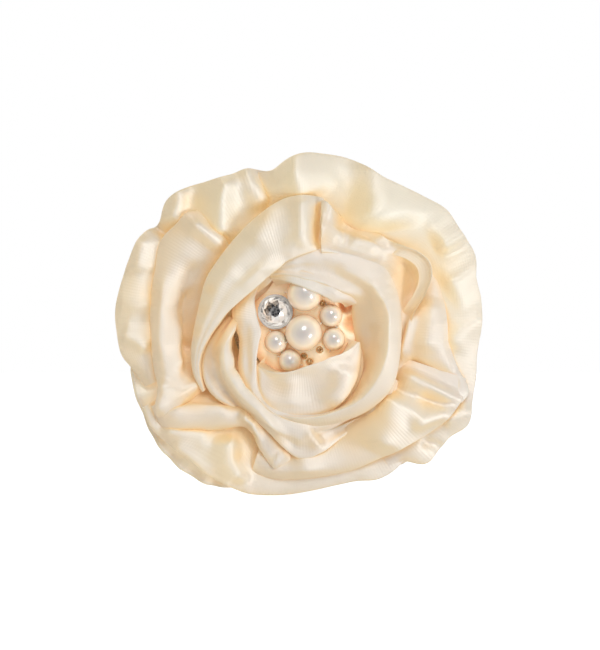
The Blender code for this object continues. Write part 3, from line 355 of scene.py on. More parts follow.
# Hollows where light soaks through the cloth: across, up, reach and strength.
WARM_SPOTS = (
    (23.2, 9.6, 3.2, 1.3), (4.2, 22.6, 1.7, 0.8), (4.4, 18.4, 1.8, 0.9), (-23.2, 26.6, 2.6, 1.3),
    (-8.6, 24.6, 2.6, 1.2), (11.5, 28.0, 4.2, 0.7), (29.0, 19.0, 2.4, 0.4), (33.0, 14.0, 2.6, 0.4),
    (-19.6, 7.6, 1.2, 1.0), (-21.2, 3.0, 1.4, 1.0), (-22.8, -1.6, 1.6, 1.2), (-22.0, -16.6, 2.2, 1.2),
    (-14.0, -3.4, 1.6, 1.0), (-33.4, 6.4, 3.2, 0.6), (-13.1, 0.0, 1.0, 0.8), (-12.6, -4.0, 1.0, 0.8),
    (-24.6, -16.6, 2.4, 0.9), (-13.1, -28.8, 1.8, 1.0), (-4.6, -25.5, 1.8, 0.8), (-14.2, -10.1, 1.5, 0.8),
    (12.2, -25.5, 3.6, 0.8), (3.4, -25.2, 2.4, 0.6), (-4.3, -13.6, 2.8, 0.5), (14.6, -9.0, 2.6, 0.8),
    (18.8, -22.0, 2.4, 0.5), (27.6, -16.6, 2.2, 0.4), (-27.0, 20.6, 1.6, 0.6))


# ---------------------------------------------------------------- small geometry helpers

def around(angle, radius, height):
    turn = np.radians(angle)
    return np.stack((radius * np.cos(turn), radius * np.sin(turn), height + 0.0 * turn), axis=-1)


def to_frame(points):
    """Flower coordinates to the frame's metres."""
    points = np.asarray(points)
    return np.stack((points[..., 0] * MM, REAR - points[..., 2] * MM, points[..., 1] * MM), axis=-1)


def place(node):
    """The middle and the size of a CAD node's box, in flower coordinates."""
    low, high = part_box(node)
    middle, size = (low + high) / 2, high - low
    return np.array((middle.x, middle.z, REAR - middle.y)) / MM, np.array((size.x, size.z, size.y)) / MM


def unit(vectors):
    return vectors / np.maximum(np.linalg.norm(vectors, axis=-1, keepdims=True), 1e-9)


def running(lengths):
    """The running total of lengths, from 0."""
    return np.concatenate(([0.0], np.cumsum(lengths)))


def circle(count):
    return np.linspace(0, TURN, count, endpoint=False)


def cubic(t, length, start, leave, end, arrive):
    """The cubic from start to end over a length, with slopes leave and arrive, at shares t of the way."""
    return ((1 + 2 * t) * (1 - t) ** 2 * start + t * (1 - t) ** 2 * length * leave
            + t * t * (3 - 2 * t) * end - t * t * (1 - t) * length * arrive)


def hermite(knots, values, at):
    """Smooth curve through values at knots, which need not be evenly spaced."""
    slopes = np.gradient(values, knots, axis=0)
    index = np.clip(np.searchsorted(knots, at, side="right") - 1, 0, len(knots) - 2)
    span = (knots[index + 1] - knots[index])[:, None]
    t = (at - knots[index])[:, None] / span
    return cubic(t, span, values[index], slopes[index], values[index + 1], slopes[index + 1])


def smooth_path(points, count):
    """A smooth curve through points, evenly sampled."""
    points = np.array(points, float)
    knots = running(np.linalg.norm(np.diff(points, axis=0), axis=1))
    return hermite(knots, points, np.linspace(0, knots[-1], count))


def rounds(count, rng, pitches):
    """Wavy numbers round a circle: a sum of waves with the given counts per turn."""
    return sum(np.sin(k * circle(count) + rng.uniform(0, WAVE_PHASES)) / len(pitches) for k in pitches)


# ---------------------------------------------------------------- grids and objects

def grid_normals(grid):
    return unit(np.cross(np.gradient(grid, axis=1), np.gradient(grid, axis=0)))


def grid_lengths(grid):
    """Lengths along and across the cloth for each grid point."""
    steps = [np.linalg.norm(np.diff(grid, axis=axis), axis=2).mean(axis=1 - axis) for axis in (0, 1)]
    return np.meshgrid(running(steps[0]), running(steps[1]), indexing="ij")


def tube_grid(path, radius, across, sides=7):
    """A round tube along a path that is nowhere parallel to the direction "across"."""
    along = np.gradient(path, axis=0)
    side = unit(np.cross(along, across))
    rise = unit(np.cross(along, side))
    turn = circle(sides)[:, None, None]
    return path + radius * (np.cos(turn) * side + np.sin(turn) * rise)


def turned_grid(profile, centre, axis, segments):
    """A profile of (radius, place along the axis) turned about an axis through the centre."""
    axis = unit(np.array(axis, float))
    side = unit(np.cross(axis, (0.3, 0.2, 0.93)))
    turn = circle(segments)[:, None, None]
    radius, along = np.array(profile, float).T
    ring = np.cos(turn) * side + np.sin(turn) * np.cross(axis, side)
    return centre + radius[:, None] * ring + along[:, None] * axis


def add_object(name, data):
    obj = bpy.data.objects.new(name, data)
    bpy.context.scene.collection.objects.link(obj)
    return obj


def face_outward(mesh):
    bm = bmesh.new()
    bm.from_mesh(mesh)
    bmesh.ops.recalc_face_normals(bm, faces=bm.faces)
    bm.to_mesh(mesh)
    bm.free()


def grid_object(name, *grids, closed=False):
    """A mesh of quads from grids of flower coordinates, with UVs in cm. A closed grid's rows go round."""
    points, quads, uvs, first = [], [], [], 0
    for grid in grids:
        rows, columns = grid.shape[:2]
        index = first + np.arange(rows * columns).reshape(rows, columns)
        if closed:
            index = np.vstack((index, index[:1]))
        corners = (index[:-1, :-1], index[:-1, 1:], index[1:, 1:], index[1:, :-1])
        quads.append(np.stack(corners, axis=-1).reshape(-1, 4))
        points.append(to_frame(grid).reshape(-1, 3))
        uvs.append(np.stack(grid_lengths(grid), axis=-1).reshape(-1, 2) * 0.1)
        first += rows * columns
    mesh = bpy.data.meshes.new(name)
    mesh.from_pydata(np.vstack(points).tolist(), [], np.vstack(quads).tolist())
    corner = np.zeros(len(mesh.loops), int)
    mesh.loops.foreach_get("vertex_index", corner)
    layer = mesh.uv_layers.new(name="UVMap")
    layer.data.foreach_set("uv", np.vstack(uvs)[corner].astype(np.float32).ravel())
    if closed:
        face_outward(mesh)
    mesh.shade_smooth()
    return add_object(name, mesh)


def dress(obj, material, node=None):
    """Gives a new piece its material, and hides the CAD node it stands for."""
    obj.data.materials.append(material)
    if node:
        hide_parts(node)


def piece(name, grids, material, node=None, closed=True):
    """A new piece of the flower, made of grids."""
    obj = grid_object(name, *grids, closed=closed)
    dress(obj, material, node)
    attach(obj, "flower")
    return obj


# ---------------------------------------------------------------- cloth petals

def creased_curve(corners, crisp, steps):
    """A curve through corners, creased as sharply as given at each, with a number of steps per stretch."""
    chords = np.diff(corners, axis=0)
    lengths = np.linalg.norm(chords, axis=1)
    slopes = np.gradient(corners, running(lengths), axis=0)
    points = [corners[:1]]
    for i, count in enumerate(steps):
        straight = chords[i] / lengths[i]
        leave, arrive = [(1 - crisp[k]) * slopes[k] + crisp[k] * straight for k in (i, i + 1)]
        t = (np.arange(1, count + 1) / count)[:, None]
        points.append(cubic(t, lengths[i], corners[i], leave, corners[i + 1], arrive))
    return np.vstack(points)


def section_corners(shape, row):
    """Corners of one section and their creases: foot, bend, the edges with bulges between, and the hem."""
    edges = row.reshape(-1, 2)
    foot = np.array((shape["foot"], FOOT_HEIGHT))
    corners = [foot, foot + shape["lean"] * (edges[0] - foot), edges[0]]
    creases = [0.0, 0.0, shape["crisp"][0]]
    for start, end, crisp, bulge in zip(edges, edges[1:], shape["crisp"][1:], shape["bulge"]):
        chord = end - start
        length = max(np.linalg.norm(chord), 1e-6)
        normal = np.array((-chord[1], chord[0])) / length
        corners += [(start + end) / 2 + normal * bulge * min(1.0, length / BULGE_CHORD), end]
        creases += [0.0, crisp]
    corners += [edges[-1] + step for step in HEM]
    return np.array(corners), creases + [0.0] * len(HEM)


def section_steps(shape, rows):
    """Grid steps per stretch of the section, the same for the whole petal."""
    corners = np.array([section_corners(shape, row)[0] for row in rows])
    lengths = np.linalg.norm(np.diff(corners, axis=1), axis=2)
    return [max(2, round(length / SECTION_STEP)) for length in np.percentile(lengths, 75, axis=0)]


def petal_grid(shape):
    """The petal's grid of points, and how many columns of it come before the hem."""
    table = shape["rows"]
    reach = np.radians(table[-1, 0] - table[0, 0]) * table[:, 1::2].mean()
    angles = np.linspace(table[0, 0], table[-1, 0], max(12, round(reach / STATION)))
    rows = hermite(table[:, 0], table[:, 1:], angles)
    steps = section_steps(shape, rows)
    sections = [creased_curve(*section_corners(shape, row), steps) for row in rows]
    grid = np.array([around(angle, *section.T) for angle, section in zip(angles, sections)])
    return grid, sum(steps[:-len(HEM)])


def gathers(grid, seed):
    """Soft gathers that run across the strip and fade towards its outer edge."""
    rng = np.random.default_rng(seed)
    u, v = grid_lengths(grid)
    depth = v / v.max()
    wave = np.zeros_like(u)
    for pitch, share in GATHER_WAVES:
        phase, lean = rng.uniform(0, TURN), rng.normal(0, 0.8)
        wander = 0.8 * np.sin(TURN * u / (pitch * 3.7) + rng.uniform(0, 6))
        wave += share * np.sin(TURN * u / pitch + phase + lean * depth * 3 + wander)
    return GATHER * wave * (0.35 + 0.65 * (1 - depth))


def crease(grid, places, left, right, height):
    """How far one fold lifts the grid: a crest along its places, or a hollow if height is below 0."""
    places = np.array(places, float)
    lengths = np.linalg.norm(np.diff(places, axis=0), axis=1)
    spot = grid[..., :2]
    nearest = np.full(spot.shape[:2], np.inf)
    lift = np.zeros(spot.shape[:2])
    for start, end, length, done in zip(places, places[1:], lengths, running(lengths)):
        way = (end - start) / length
        offset = spot - start
        t = np.clip(offset @ way / length, 0, 1)
        gap = np.linalg.norm(offset - (t * length)[..., None] * way, axis=2)
        side = way[0] * offset[..., 1] - way[1] * offset[..., 0]
        width = left + (right - left) / (1 + np.exp(np.clip(side / SIDE_BLEND, -40, 40)))
        along = (done + t * length) / lengths.sum()
        ends = np.clip(np.minimum(along, 1 - along) / FOLD_FADE, 0, 1)
        ends = 0.1 + 0.9 * ends * ends * (3 - 2 * ends)
        shape = np.exp(-((gap / width) ** 2 + CREST_SOFT) ** 0.75 + CREST_SOFT ** 0.75)
        lift = np.where(gap < nearest, height * ends * shape, lift)
        nearest = np.minimum(nearest, gap)
    return lift


def petal(name, shape, seed, satin):
    """One satin strip, lifted by its gathers and folds along its own normal, or forward at its hem."""
    grid, edge = petal_grid(shape)
    lift = gathers(grid, seed) + sum(crease(grid, *fold) for fold in FOLDS[name])
    grid[..., 0] = np.clip(grid[..., 0], *shape["stop"])
    _, v = grid_lengths(grid)
    turned = HEM_FORWARD * np.clip((v / v.max() - 0.45) / 0.3, 0, 1)[..., None]
    normals = grid_normals(grid) * (1 - turned) + np.array((0.0, 0.0, 1.0)) * turned
    shift = normals * lift[..., None] * FOLD_GAIN
    shift[:, edge - 1:] = shift[:, edge - 2:edge - 1]
    shift[:, :FOOT_COLUMNS] *= np.linspace(0, 1, FOOT_COLUMNS)[:, None]
    grid = grid + shift
    obj = piece("satin_" + name.replace(" ", "_"), [grid], satin, name.split()[0], closed=False)
    # painted light: the warm tint and glow of the listed hollows, kept on each point for the satin's colour
    warm = sum(strength * np.exp(-((grid[..., 0] - x) ** 2 + (grid[..., 1] - z) ** 2) / reach ** 2)
               for x, z, reach, strength in WARM_SPOTS)
    layer = obj.data.attributes.new("warm", "FLOAT", "POINT")
    layer.data.foreach_set("value", np.minimum(warm, 1.0).ravel())


def cushion(satin):
    """The satin heart the beads are sewn to: it rises between them and puckers round each one."""
    middle, size = place("centre_pad")
    seats = [place(node) for node in frame["nodes"] if node.startswith(("pearl", "stone", "seed"))]
    dents = [(*centre[:2], 0.45 * seat[0], min(1.5, 0.9 * seat[0])) for centre, seat in seats]
    turn, share = np.meshgrid(circle(120), np.linspace(0.02, 1.0, 44), indexing="ij")
    radius = (size[0] / 2 + HEART_OVERLAP) * share
    across, up = middle[0] + radius * np.cos(turn), middle[1] + radius * np.sin(turn)
    height = HEART_LOW + PAD_RISE * (1 - share ** 2.6)
    for x, z, reach, sink in (*dents, *HEART_GAPS):
        height -= sink * np.exp(-(np.hypot(across - x, up - z) / reach) ** 4)
    height += (0.16 * np.sin(5 * turn + 9 * share) + 0.1 * np.sin(13 * turn + 4 * share)) * share
    piece("satin_heart", [np.stack((across, up, height), axis=-1)], satin, "centre_pad")


# ---------------------------------------------------------------- base: ruffle, buckram, felt, stitches

def ruffle(satin):
    """The lowest ruffle: satin pleated towards the middle, with its folded hem along the CAD outline."""
    corners = np.array([v.co for v in frame["nodes"]["ruffle_base"].data.vertices])
    angles = np.degrees(np.arctan2(corners[:, 2], corners[:, 0])) % 360
    radii = np.hypot(corners[:, 0], corners[:, 2]) / MM
    bins = np.arange(0, 360, 10)
    outline = [radii[np.abs((angles - b + 180) % 360 - 180) < 8].max() for b in bins]
    rng = np.random.default_rng(21)
    turn = np.arange(0, 360, 0.75)
    edge = np.interp(turn, bins, outline, period=360) - 0.3
    wander = 0.9 * rounds(len(turn), rng, (3, 5, 8, 13))
    pleats = np.sin(np.radians(turn) * RUFFLE_PLEATS + 2.2 * wander)
    small = rounds(len(turn), rng, (97, 131, 160))
    middle, size = place("ruffle_base")
    low = middle[2] - size[2] / 2
    columns = 30
    shares = (*np.linspace(0, 1, columns), 1.0, 0.985, 0.95)
    drops = (*np.zeros(columns), -0.25, -0.45, -0.5)
    grid = []
    for share, drop in zip(shares, drops):
        radius = RUFFLE_FOOT + share * (edge - RUFFLE_FOOT)
        fade = 0.35 + 0.65 * math.sin(math.pi * min(1.0, 0.8 * share))
        height = low + 0.5 + 1.1 * share ** 3 + fade * (0.42 * pleats + 0.2 * small * (1 - share)) + drop
        grid.append(around(turn + 1.2 * (1 - share) * pleats, radius + 0.08 * share * pleats, height))
    piece("gathered_ruffle", [np.array(grid).transpose(1, 0, 2)], satin, "ruffle_base")


def soft_disc(node, rng, dent_count=0):
    """A disc of soft sheet over a CAD disc: round rim, slightly uneven faces, dents where stitches pull."""
    middle, size = place(node)
    radius, half = size[0] / 2, size[2] / 2
    turn = np.arange(0, 360, 1.5)
    dents = STITCH_DENT * np.clip(np.cos(np.radians(turn) * dent_count), 0, 1) ** 4 if dent_count else 0.0
    rim = radius - dents + 0.15 * rounds(len(turn), rng, (2, 3, 7, 11))
    arc = np.radians(np.linspace(-90, 90, 11))
    columns = 26
    face = np.linspace(0.01, 0.97, columns) * radius
    out = (*face, *(radius - 0.8 * half * (1 - np.cos(arc))), *face[::-1])
    rise = middle[2] + half * np.array((*-np.ones(columns), *np.sin(arc), *np.ones(columns)))
    grid = np.array([around(turn, r / radius * rim, h) for r, h in zip(out, rise)]).transpose(1, 0, 2)
    uneven = rng.normal(0, 1, grid.shape[:2])
    for _ in range(6):
        uneven = (uneven + np.roll(uneven, 1, 0) + np.roll(uneven, -1, 0) + np.roll(uneven, 1, 1)) / 4
    grid[..., 2] += 0.12 * uneven * (grid_lengths(grid)[1] > 2)
    return grid


def fuzz(rng, material):
    """Loose wool fibres on the felt's rear face and rim."""
    radius = place("felt_backing")[1][0] / 2
    grids = []
    for _ in range(FUZZ_COUNT):
        on_rim = rng.random() < 0.3
        out = radius * (1.0 if on_rim else math.sqrt(rng.random()))
        angle = rng.uniform(0, TURN)
        way = np.array((math.cos(angle), math.sin(angle), 0.0))
        foot = out * way + (0.0, 0.0, rng.uniform(0.1, 1.0) if on_rim else 0.05)
        rise = way if on_rim else np.array((0.0, 0.0, -1.0))
        lean = unit(rng.normal(0, 1, 3))
        length = rng.uniform(0.3, 0.9)
        tip = foot + length * (0.35 * rise + 0.5 * lean)
        if not on_rim:
            tip[2] = min(tip[2], foot[2])
        side = FUZZ_HALF_WIDTH * unit(np.cross(tip - foot, rise + (0.1, 0.2, 0.3)))
        spine = np.array((foot, (foot + tip) / 2 + 0.25 * length * rise, tip))
        grids.append(np.array((spine - side, spine + side)))
    piece("felt_fuzz", grids, material, closed=False)


def whip_stitches(thread):
    """Slanted stitches that sew the felt's rim to the ruffle in front of it."""
    size = place("felt_backing")[1]
    radius, thick = size[0] / 2, size[2]
    grids = []
    rng = np.random.default_rng(8)
    for angle in np.arange(STITCH_COUNT) * 360 / STITCH_COUNT:
        inset = 1.8 + rng.uniform(-0.15, 0.15)
        slant = 3.0 + rng.uniform(-0.4, 0.4)
        outline = ((-inset, 0.35), (0.1 - inset, -0.12), (-0.9, -0.16), (-0.1, 0.0), (0.12, 0.5 * thick),
                   (0.1, thick + 0.2), (-0.5, thick + 1.7))
        turns = np.linspace(0, slant, len(outline))
        points = [around(angle + turn, radius + out, height) for turn, (out, height) in zip(turns, outline)]
        across = around(angle + slant / 2 + 90, 1.0, 0.0)
        grids.append(tube_grid(smooth_path(points, 22), THREAD, across))
    piece("whip_stitches", grids, thread)


def strap_line():
    """The strap's middle line over the clip's fixed arm, from its lower end to its upper end."""
    middle, size = place("felt_keeper_strap")
    arm = place("clip_fixed_arm")
    side = arm[0][1] + arm[1][1] / 2
    end, top, flat = middle[1] + size[1] / 2, middle[2] - size[2] / 2 + 0.46, -0.6
    half = [(0.0, side - 0.2, top), (0.0, side + 0.5, top + 0.4), (0.0, side + 0.9, flat - 0.35),
            (0.0, side + 2.0, flat), (0.0, end, flat)]
    return smooth_path([(0.0, -up, height) for _, up, height in half[::-1]] + [(0.0, 0.0, top)] + half, 70)


def strap(felt, thread):
    """A felt strap glued and stitched over the fixed arm."""
    centre, size = place("felt_keeper_strap")
    middle, half, end = centre[0], size[0] / 2, centre[1] + size[1] / 2
    line = strap_line()
    out = np.cross(unit(np.gradient(line, axis=0)), (1.0, 0.0, 0.0))
    full = np.minimum(1.0, np.sin(np.linspace(0.02, math.pi - 0.02, len(line))) * 8) ** 0.5
    frayed = 1 + 0.006 * rounds(len(line), np.random.default_rng(4), (3, 5, 9, 14))
    grid = []
    for turn in circle(64):
        wide = math.copysign(abs(math.cos(turn)) ** 0.16, math.cos(turn))
        deep = math.copysign(abs(math.sin(turn)) ** 0.5, math.sin(turn))
        across = middle + half * wide * frayed * (0.97 + 0.03 * full)
        lift = STRAP_HALF_THICKNESS * deep * full
        grid.append(line + across[:, None] * (1.0, 0.0, 0.0) + lift[:, None] * out)
    piece("felt_strap", [np.array(grid)], felt, "felt_keeper_strap")
    strap_stitches(thread, middle - half, 2 * half, end - 1.3)


def strap_stitches(thread, start, width, row):
    """Two rows of five stitches, above and below the clip."""
    steps = ((0.0, 0.0, -0.75), (0.08, 0.0, -1.1), (0.55, 0.05, -1.2), (1.02, 0.0, -1.1), (1.1, 0.0, -0.75))
    grids = []
    for side in (-1, 1):
        for left in start + 1.2 + np.arange(5) * (width - 3.5) / 4:
            points = [(left + across, side * (row - up), height) for across, up, height in steps]
            grids.append(tube_grid(smooth_path(points, 16), THREAD, (0.0, 1.0, 0.0)))
    piece("strap_stitches", grids, thread)


def spring(steel):
    """The torsion spring: a leg on the fixed arm, a coil round the pin, a leg under the thumb tab."""
    across, depth, _ = frame["joints"][0]["pos_m"]
    low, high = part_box("clip_spring")
    reach = (high.z - low.z) / 2 / MM - SPRING_WIRE / 2
    leg = (high.x - across) / MM - 0.1
    rear, front = (depth - low.y) / MM - SPRING_WIRE / 2, (high.y - depth) / MM - SPRING_WIRE / 2
    steps = 150
    turns = -90 - np.linspace(0, 360 * SPRING_TURNS, steps)
    coil = around(turns, SPRING_COIL, np.linspace(-reach, reach, steps))
    away = np.linspace(0.06, 1, 14)[:, None]
    first = away * (leg, -rear, 0.0) + (1 - away) * (0.0, -SPRING_COIL, 0.0) - (0.0, 0.0, reach)
    last = away * (leg, front, 0.0) + (1 - away) * (0.0, SPRING_COIL, 0.0) + (0.0, 0.0, reach)
    path = np.vstack((first[::-1], coil, last))
    path = np.stack((across / MM + path[:, 0], path[:, 2], (REAR - depth) / MM - path[:, 1]), axis=1)
    obj = grid_object("torsion_spring", tube_grid(path, SPRING_WIRE / 2, (0.0, 1.0, 0.0), 12), closed=True)
    dress(obj, steel, "clip_spring")
    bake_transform(obj)


# ---------------------------------------------------------------- materials

class Nodes:
    """Short calls for building the node tree of a material or a world."""

    def __init__(self, owner):
        owner.use_nodes = True
        self.owner = owner
        self.tree = owner.node_tree

    def put(self, target, value):
        """Feeds an input from another node's output, or sets it to a number, a colour or a vector."""
        if isinstance(value, bpy.types.NodeSocket):
            self.tree.links.new(value, target)
        elif target.type == "RGBA":
            target.default_value = (*value, 1.0)
        else:
            target.default_value = value

    def set(self, **values):
        """Fills inputs of the material's own shader. Names are the inputs' names with _ for a blank."""
        for key, value in values.items():
            self.put(self.tree.nodes["Principled BSDF"].inputs[key.replace("_", " ")], value)

    def add(self, kind, inputs=None, **settings):
        node = self.tree.nodes.new("ShaderNode" + kind)
        for key, value in settings.items():
            setattr(node, key, value)
        for key, value in (inputs or {}).items():
            self.put(node.inputs[key], value)
        return node.outputs

    def mapped(self, source, *scale):
        """Texture coordinates of one kind, scaled alike or per axis."""
        scale = scale if len(scale) == 3 else scale * 3
        return self.add("Mapping", {"Vector": self.add("TexCoord")[source], "Scale": scale})["Vector"]

    def noise(self, vector, scale, detail=2.0, roughness=0.5):
        inputs = {"Vector": vector, "Scale": scale, "Detail": detail, "Roughness": roughness}
        return self.add("TexNoise", inputs)["Fac"]

    def wave(self, vector, scale, direction="X", distortion=0.0):
        inputs = {"Vector": vector, "Scale": scale, "Distortion": distortion, "Detail": 1.0}
        return self.add("TexWave", inputs, bands_direction=direction)["Fac"]

    def math(self, operation, *values):
        return self.add("Math", dict(enumerate(values)), operation=operation)["Value"]

    def plus(self, first, second):
        return self.math("ADD", first, second)

    def times(self, first, second):
        return self.math("MULTIPLY", first, second)

    def line(self, value, gain, start):
        """The value times a gain, plus a start."""
        return self.plus(self.times(value, gain), start)

    def span(self, value, low, high, start, end, shape="SMOOTHSTEP"):
        """The value's place between low and high, turned into a number from start to end."""
        inputs = {"Value": value, "From Min": low, "From Max": high, "To Min": start, "To Max": end}
        return self.add("MapRange", inputs, interpolation_type=shape)["Result"]

    def shade(self, reach):
        """How open a place lies to what is within reach (metres): 0 deep in a gap, 1 in the open."""
        return self.add("AmbientOcclusion", {"Distance": reach}, samples=8)["AO"]

    def ramp(self, factor, *stops):
        node = self.tree.nodes.new("ShaderNodeValToRGB")
        elements = node.color_ramp.elements
        while len(elements) < len(stops):
            elements.new(0.5)
        for element, (position, color) in zip(elements, stops):
            element.position = position
            element.color = (*color, 1.0)
        self.put(node.inputs["Fac"], factor)
        return node.outputs["Color"]

    def mix(self, share, first, second):
        return self.add("Mix", {"Factor": share, "A": first, "B": second}, data_type="RGBA")["Result"]

    def blend(self, share, first, second):
        return self.add("MixShader", {"Fac": share, 1: first, 2: second})["Shader"]

    def bump(self, height, strength, distance):
        normal = self.add("Bump", {"Strength": strength, "Distance": distance, "Height": height})["Normal"]
        self.set(Normal=normal)
        return normal


def new_material(name):
    return Nodes(bpy.data.materials.new(name))


def satin_material():
    """Ivory satin: a matt body that lets warm light through, under the streaky shine of long floats. Its
    colour also holds painted shade and light: orange in hollows and on flanks that face away from the
    lamps, with a faint painted glow there.
    """
    n = new_material("ivory satin")
    cloth = n.mapped("UV", 1.0)
    tone = n.noise(cloth, 1.3, 3.0)
    depth = n.shade(0.007)
    # painted shade: closed-in places and the listed warm spots take the orange hollow colour in place of
    # real shade and bounce light
    spots = n.add("Attribute", attribute_name="warm", attribute_type="GEOMETRY")["Fac"]
    hollow = n.times(n.span(depth, 0.25, 0.84, 0.0, 1.0), n.math("SUBTRACT", 1.0, n.times(spots, 0.62)))
    normal = n.add("NewGeometry")["Normal"]
    # painted shade: flanks that face away from the lights are tinted warm
    facing = n.add("VectorMath", {0: normal, 1: WARM_SIDE}, operation="DOT_PRODUCT")["Value"]
    away = n.span(facing, 0.42, 0.86, 1.0, 0.0)
    open_cloth = n.ramp(tone, (0.3, (0.875, 0.870, 0.785)), (0.7, (0.885, 0.888, 0.815)))
    lit = n.mix(n.times(away, 0.75), open_cloth, (1.0, 0.87, 0.56))
    # the painted shade colour, darker and redder the more closed in the place is
    warm = n.ramp(depth, (0.04, (0.66, 0.27, 0.11)), (0.3, (1.0, 0.735, 0.365)))
    # painted glow in hollows, for the light the cloth scatters into them
    glow = n.times(n.math("SUBTRACT", 1.0, hollow), n.span(depth, 0.05, 0.3, 0.0, SATIN_GLOW))
    n.set(Base_Color=n.mix(hollow, warm, lit), Roughness=n.line(tone, 0.2, 0.5), Sheen_Weight=0.08,
          Sheen_Roughness=0.4, Specular_IOR_Level=0.2, Emission_Color=(1.0, 0.72, 0.28),
          Emission_Strength=n.plus(glow, n.times(away, FLANK_GLOW)))
    patches = n.noise(n.mapped("UV", 0.9), 1.0, 1.0)
    warp = n.times(n.wave(cloth, 5.2, "Y", 0.5), n.math("SMOOTH_MIN", patches, 0.6))
    weft = n.times(n.wave(cloth, 5.6, "X", 0.5), n.math("SUBTRACT", 1.0, patches))
    slubs = n.noise(n.mapped("UV", 26.0, 3.0, 1.0), 1.0, 3.0)
    weave = n.bump(n.plus(warp, n.line(slubs, 0.6, weft)), 0.5, 0.00008)
    through = n.add("BsdfTranslucent", {"Color": (0.94, 0.88, 0.66)})["BSDF"]
    body = n.blend(SATIN_THROUGH, n.tree.nodes["Principled BSDF"].outputs["BSDF"], through)
    tangent = n.add("Tangent", direction_type="UV_MAP")["Tangent"]
    shine = n.add("BsdfAnisotropic", {
        "Color": (1.0, 0.98, 0.95), "Anisotropy": 0.4, "Roughness": n.line(tone, 0.12, SATIN_ROUGH),
        "Tangent": tangent, "Normal": weave})["BSDF"]
    n.put(n.tree.nodes["Material Output"].inputs["Surface"], n.blend(SATIN_SHINE, body, shine))
    return n.owner


def heart_material():
    """The satin heart's cloth: warm, since it's lit mostly through the petals. Its colour holds painted
    shade, dark red-brown where beads and gaps close it in and on the puckers, and it glows faintly with
    painted light.
    """
    n = new_material("warm satin")
    cloth = n.mapped("UV", 1.0)
    puckers = n.noise(cloth, 4.0, 4.0, 0.6)
    # painted shade from how closed in each place is, with the puckers' own shading painted in
    seen = n.plus(n.shade(0.004), n.times(puckers, 0.15))
    color = n.ramp(seen, (0.08, (0.55, 0.18, 0.05)), (0.26, (0.98, 0.69, 0.37)), (0.62, (0.98, 0.90, 0.70)))
    # the colour also glows, as painted light
    n.set(Base_Color=color, Emission_Color=color, Emission_Strength=0.19, Specular_IOR_Level=0.8,
          Roughness=n.line(puckers, 0.3, 0.25))
    n.bump(n.line(n.wave(cloth, 5.2, "X", 0.5), 0.1, puckers), 0.5, 0.0004)
    return n.owner


def felt_material():
    n = new_material("cream felt")
    wool = n.mapped("Object", 1000.0)
    fibres = n.noise(wool, 1.1, 6.0, 0.75)
    clumps = n.noise(wool, 0.22, 3.0)
    n.set(Base_Color=n.ramp(fibres, (0.3, (0.70, 0.62, 0.49)), (0.7, (0.86, 0.80, 0.68))),
          Roughness=n.line(clumps, 0.2, 0.8), Sheen_Weight=0.5, Sheen_Roughness=0.6, Specular_IOR_Level=0.1)
    n.bump(n.line(clumps, 0.8, fibres), 0.9, 0.0003)
    return n.owner


def buckram_material():
    """Stiffened open weave, coarse threads with size between them."""
    n = new_material("stiff buckram")
    cloth = n.mapped("Object", 1000.0)
    threads = n.plus(n.wave(cloth, 0.55, "X", 0.6), n.wave(cloth, 0.55, "Z", 0.6))
    sized = n.noise(cloth, 0.4, 3.0)
    n.set(Base_Color=n.ramp(threads, (0.2, (0.52, 0.47, 0.38)), (0.9, (0.86, 0.82, 0.72))),
          Roughness=n.line(sized, 0.3, 0.5))
    n.bump(n.plus(threads, sized), 0.8, 0.0003)
    return n.owner


def thread_material():
    """Twisted ivory sewing thread."""
    n = new_material("sewing thread")
    twist = n.wave(n.mapped("UV", 1.0), 9.0, "DIAGONAL", 0.4)
    worn = n.noise(n.mapped("UV", 6.0), 1.0, 3.0)
    n.set(Base_Color=n.ramp(twist, (0.2, (0.72, 0.63, 0.47)), (0.7, (0.92, 0.87, 0.75))),
          Roughness=n.line(worn, 0.3, 0.35), Sheen_Weight=0.3, Specular_IOR_Level=0.3)
    n.bump(n.line(worn, 0.3, twist), 0.6, 0.00008)
    return n.owner


def steel_material():
    """Nickel plated spring steel: fine lengthwise brushing, rubbed patches and a few scratches."""
    n = new_material("nickel plated steel")
    brushed = n.noise(n.mapped("Object", 90.0, 3500.0, 3500.0), 1.0, 3.0)
    rubbed = n.noise(n.mapped("Object", 1000.0), 0.16, 2.0)
    scratches = n.noise(n.mapped("Object", 150.0, 900.0, 5200.0), 1.0, 1.0)
    tone = n.line(brushed, 0.6, n.times(rubbed, 0.4))
    n.set(Base_Color=n.ramp(tone, (0.3, (0.62, 0.61, 0.59)), (0.7, (0.78, 0.77, 0.75))), Metallic=1.0,
          Roughness=n.plus(n.line(rubbed, 0.16, n.times(brushed, 0.12)), 0.14))
    n.bump(n.plus(brushed, n.span(scratches, 0.66, 0.72, 0.0, 1.5)), 0.2, 0.00005)
    return n.owner


def pearl_material():
    """Nacre: a warm rim, a paler face and a clear hard skin. The grey middle where the pearl faces the
    camera is a painted reflection of the dark camera side.
    """
    n = new_material("pearl nacre")
    facing = n.add("LayerWeight", {"Blend": 0.35})["Facing"]
    # grey middle: painted reflection of the dark camera side
    color = n.ramp(facing, (0.0, (0.48, 0.44, 0.41)), (0.07, (0.64, 0.57, 0.49)),
                   (0.22, (0.84, 0.73, 0.57)), (0.5, (0.86, 0.66, 0.45)), (0.95, (0.66, 0.42, 0.24)))
    nacre = n.noise(n.mapped("Object", 1000.0), 0.5, 3.0)
    n.set(Base_Color=color, Coat_Weight=1.0, Coat_Roughness=0.08, Coat_IOR=1.6, Subsurface_Weight=0.12,
          Subsurface_Scale=0.0012, Specular_IOR_Level=0.8, Roughness=n.line(nacre, 0.2, 0.22))
    n.bump(nacre, 0.05, 0.0001)
    return n.owner


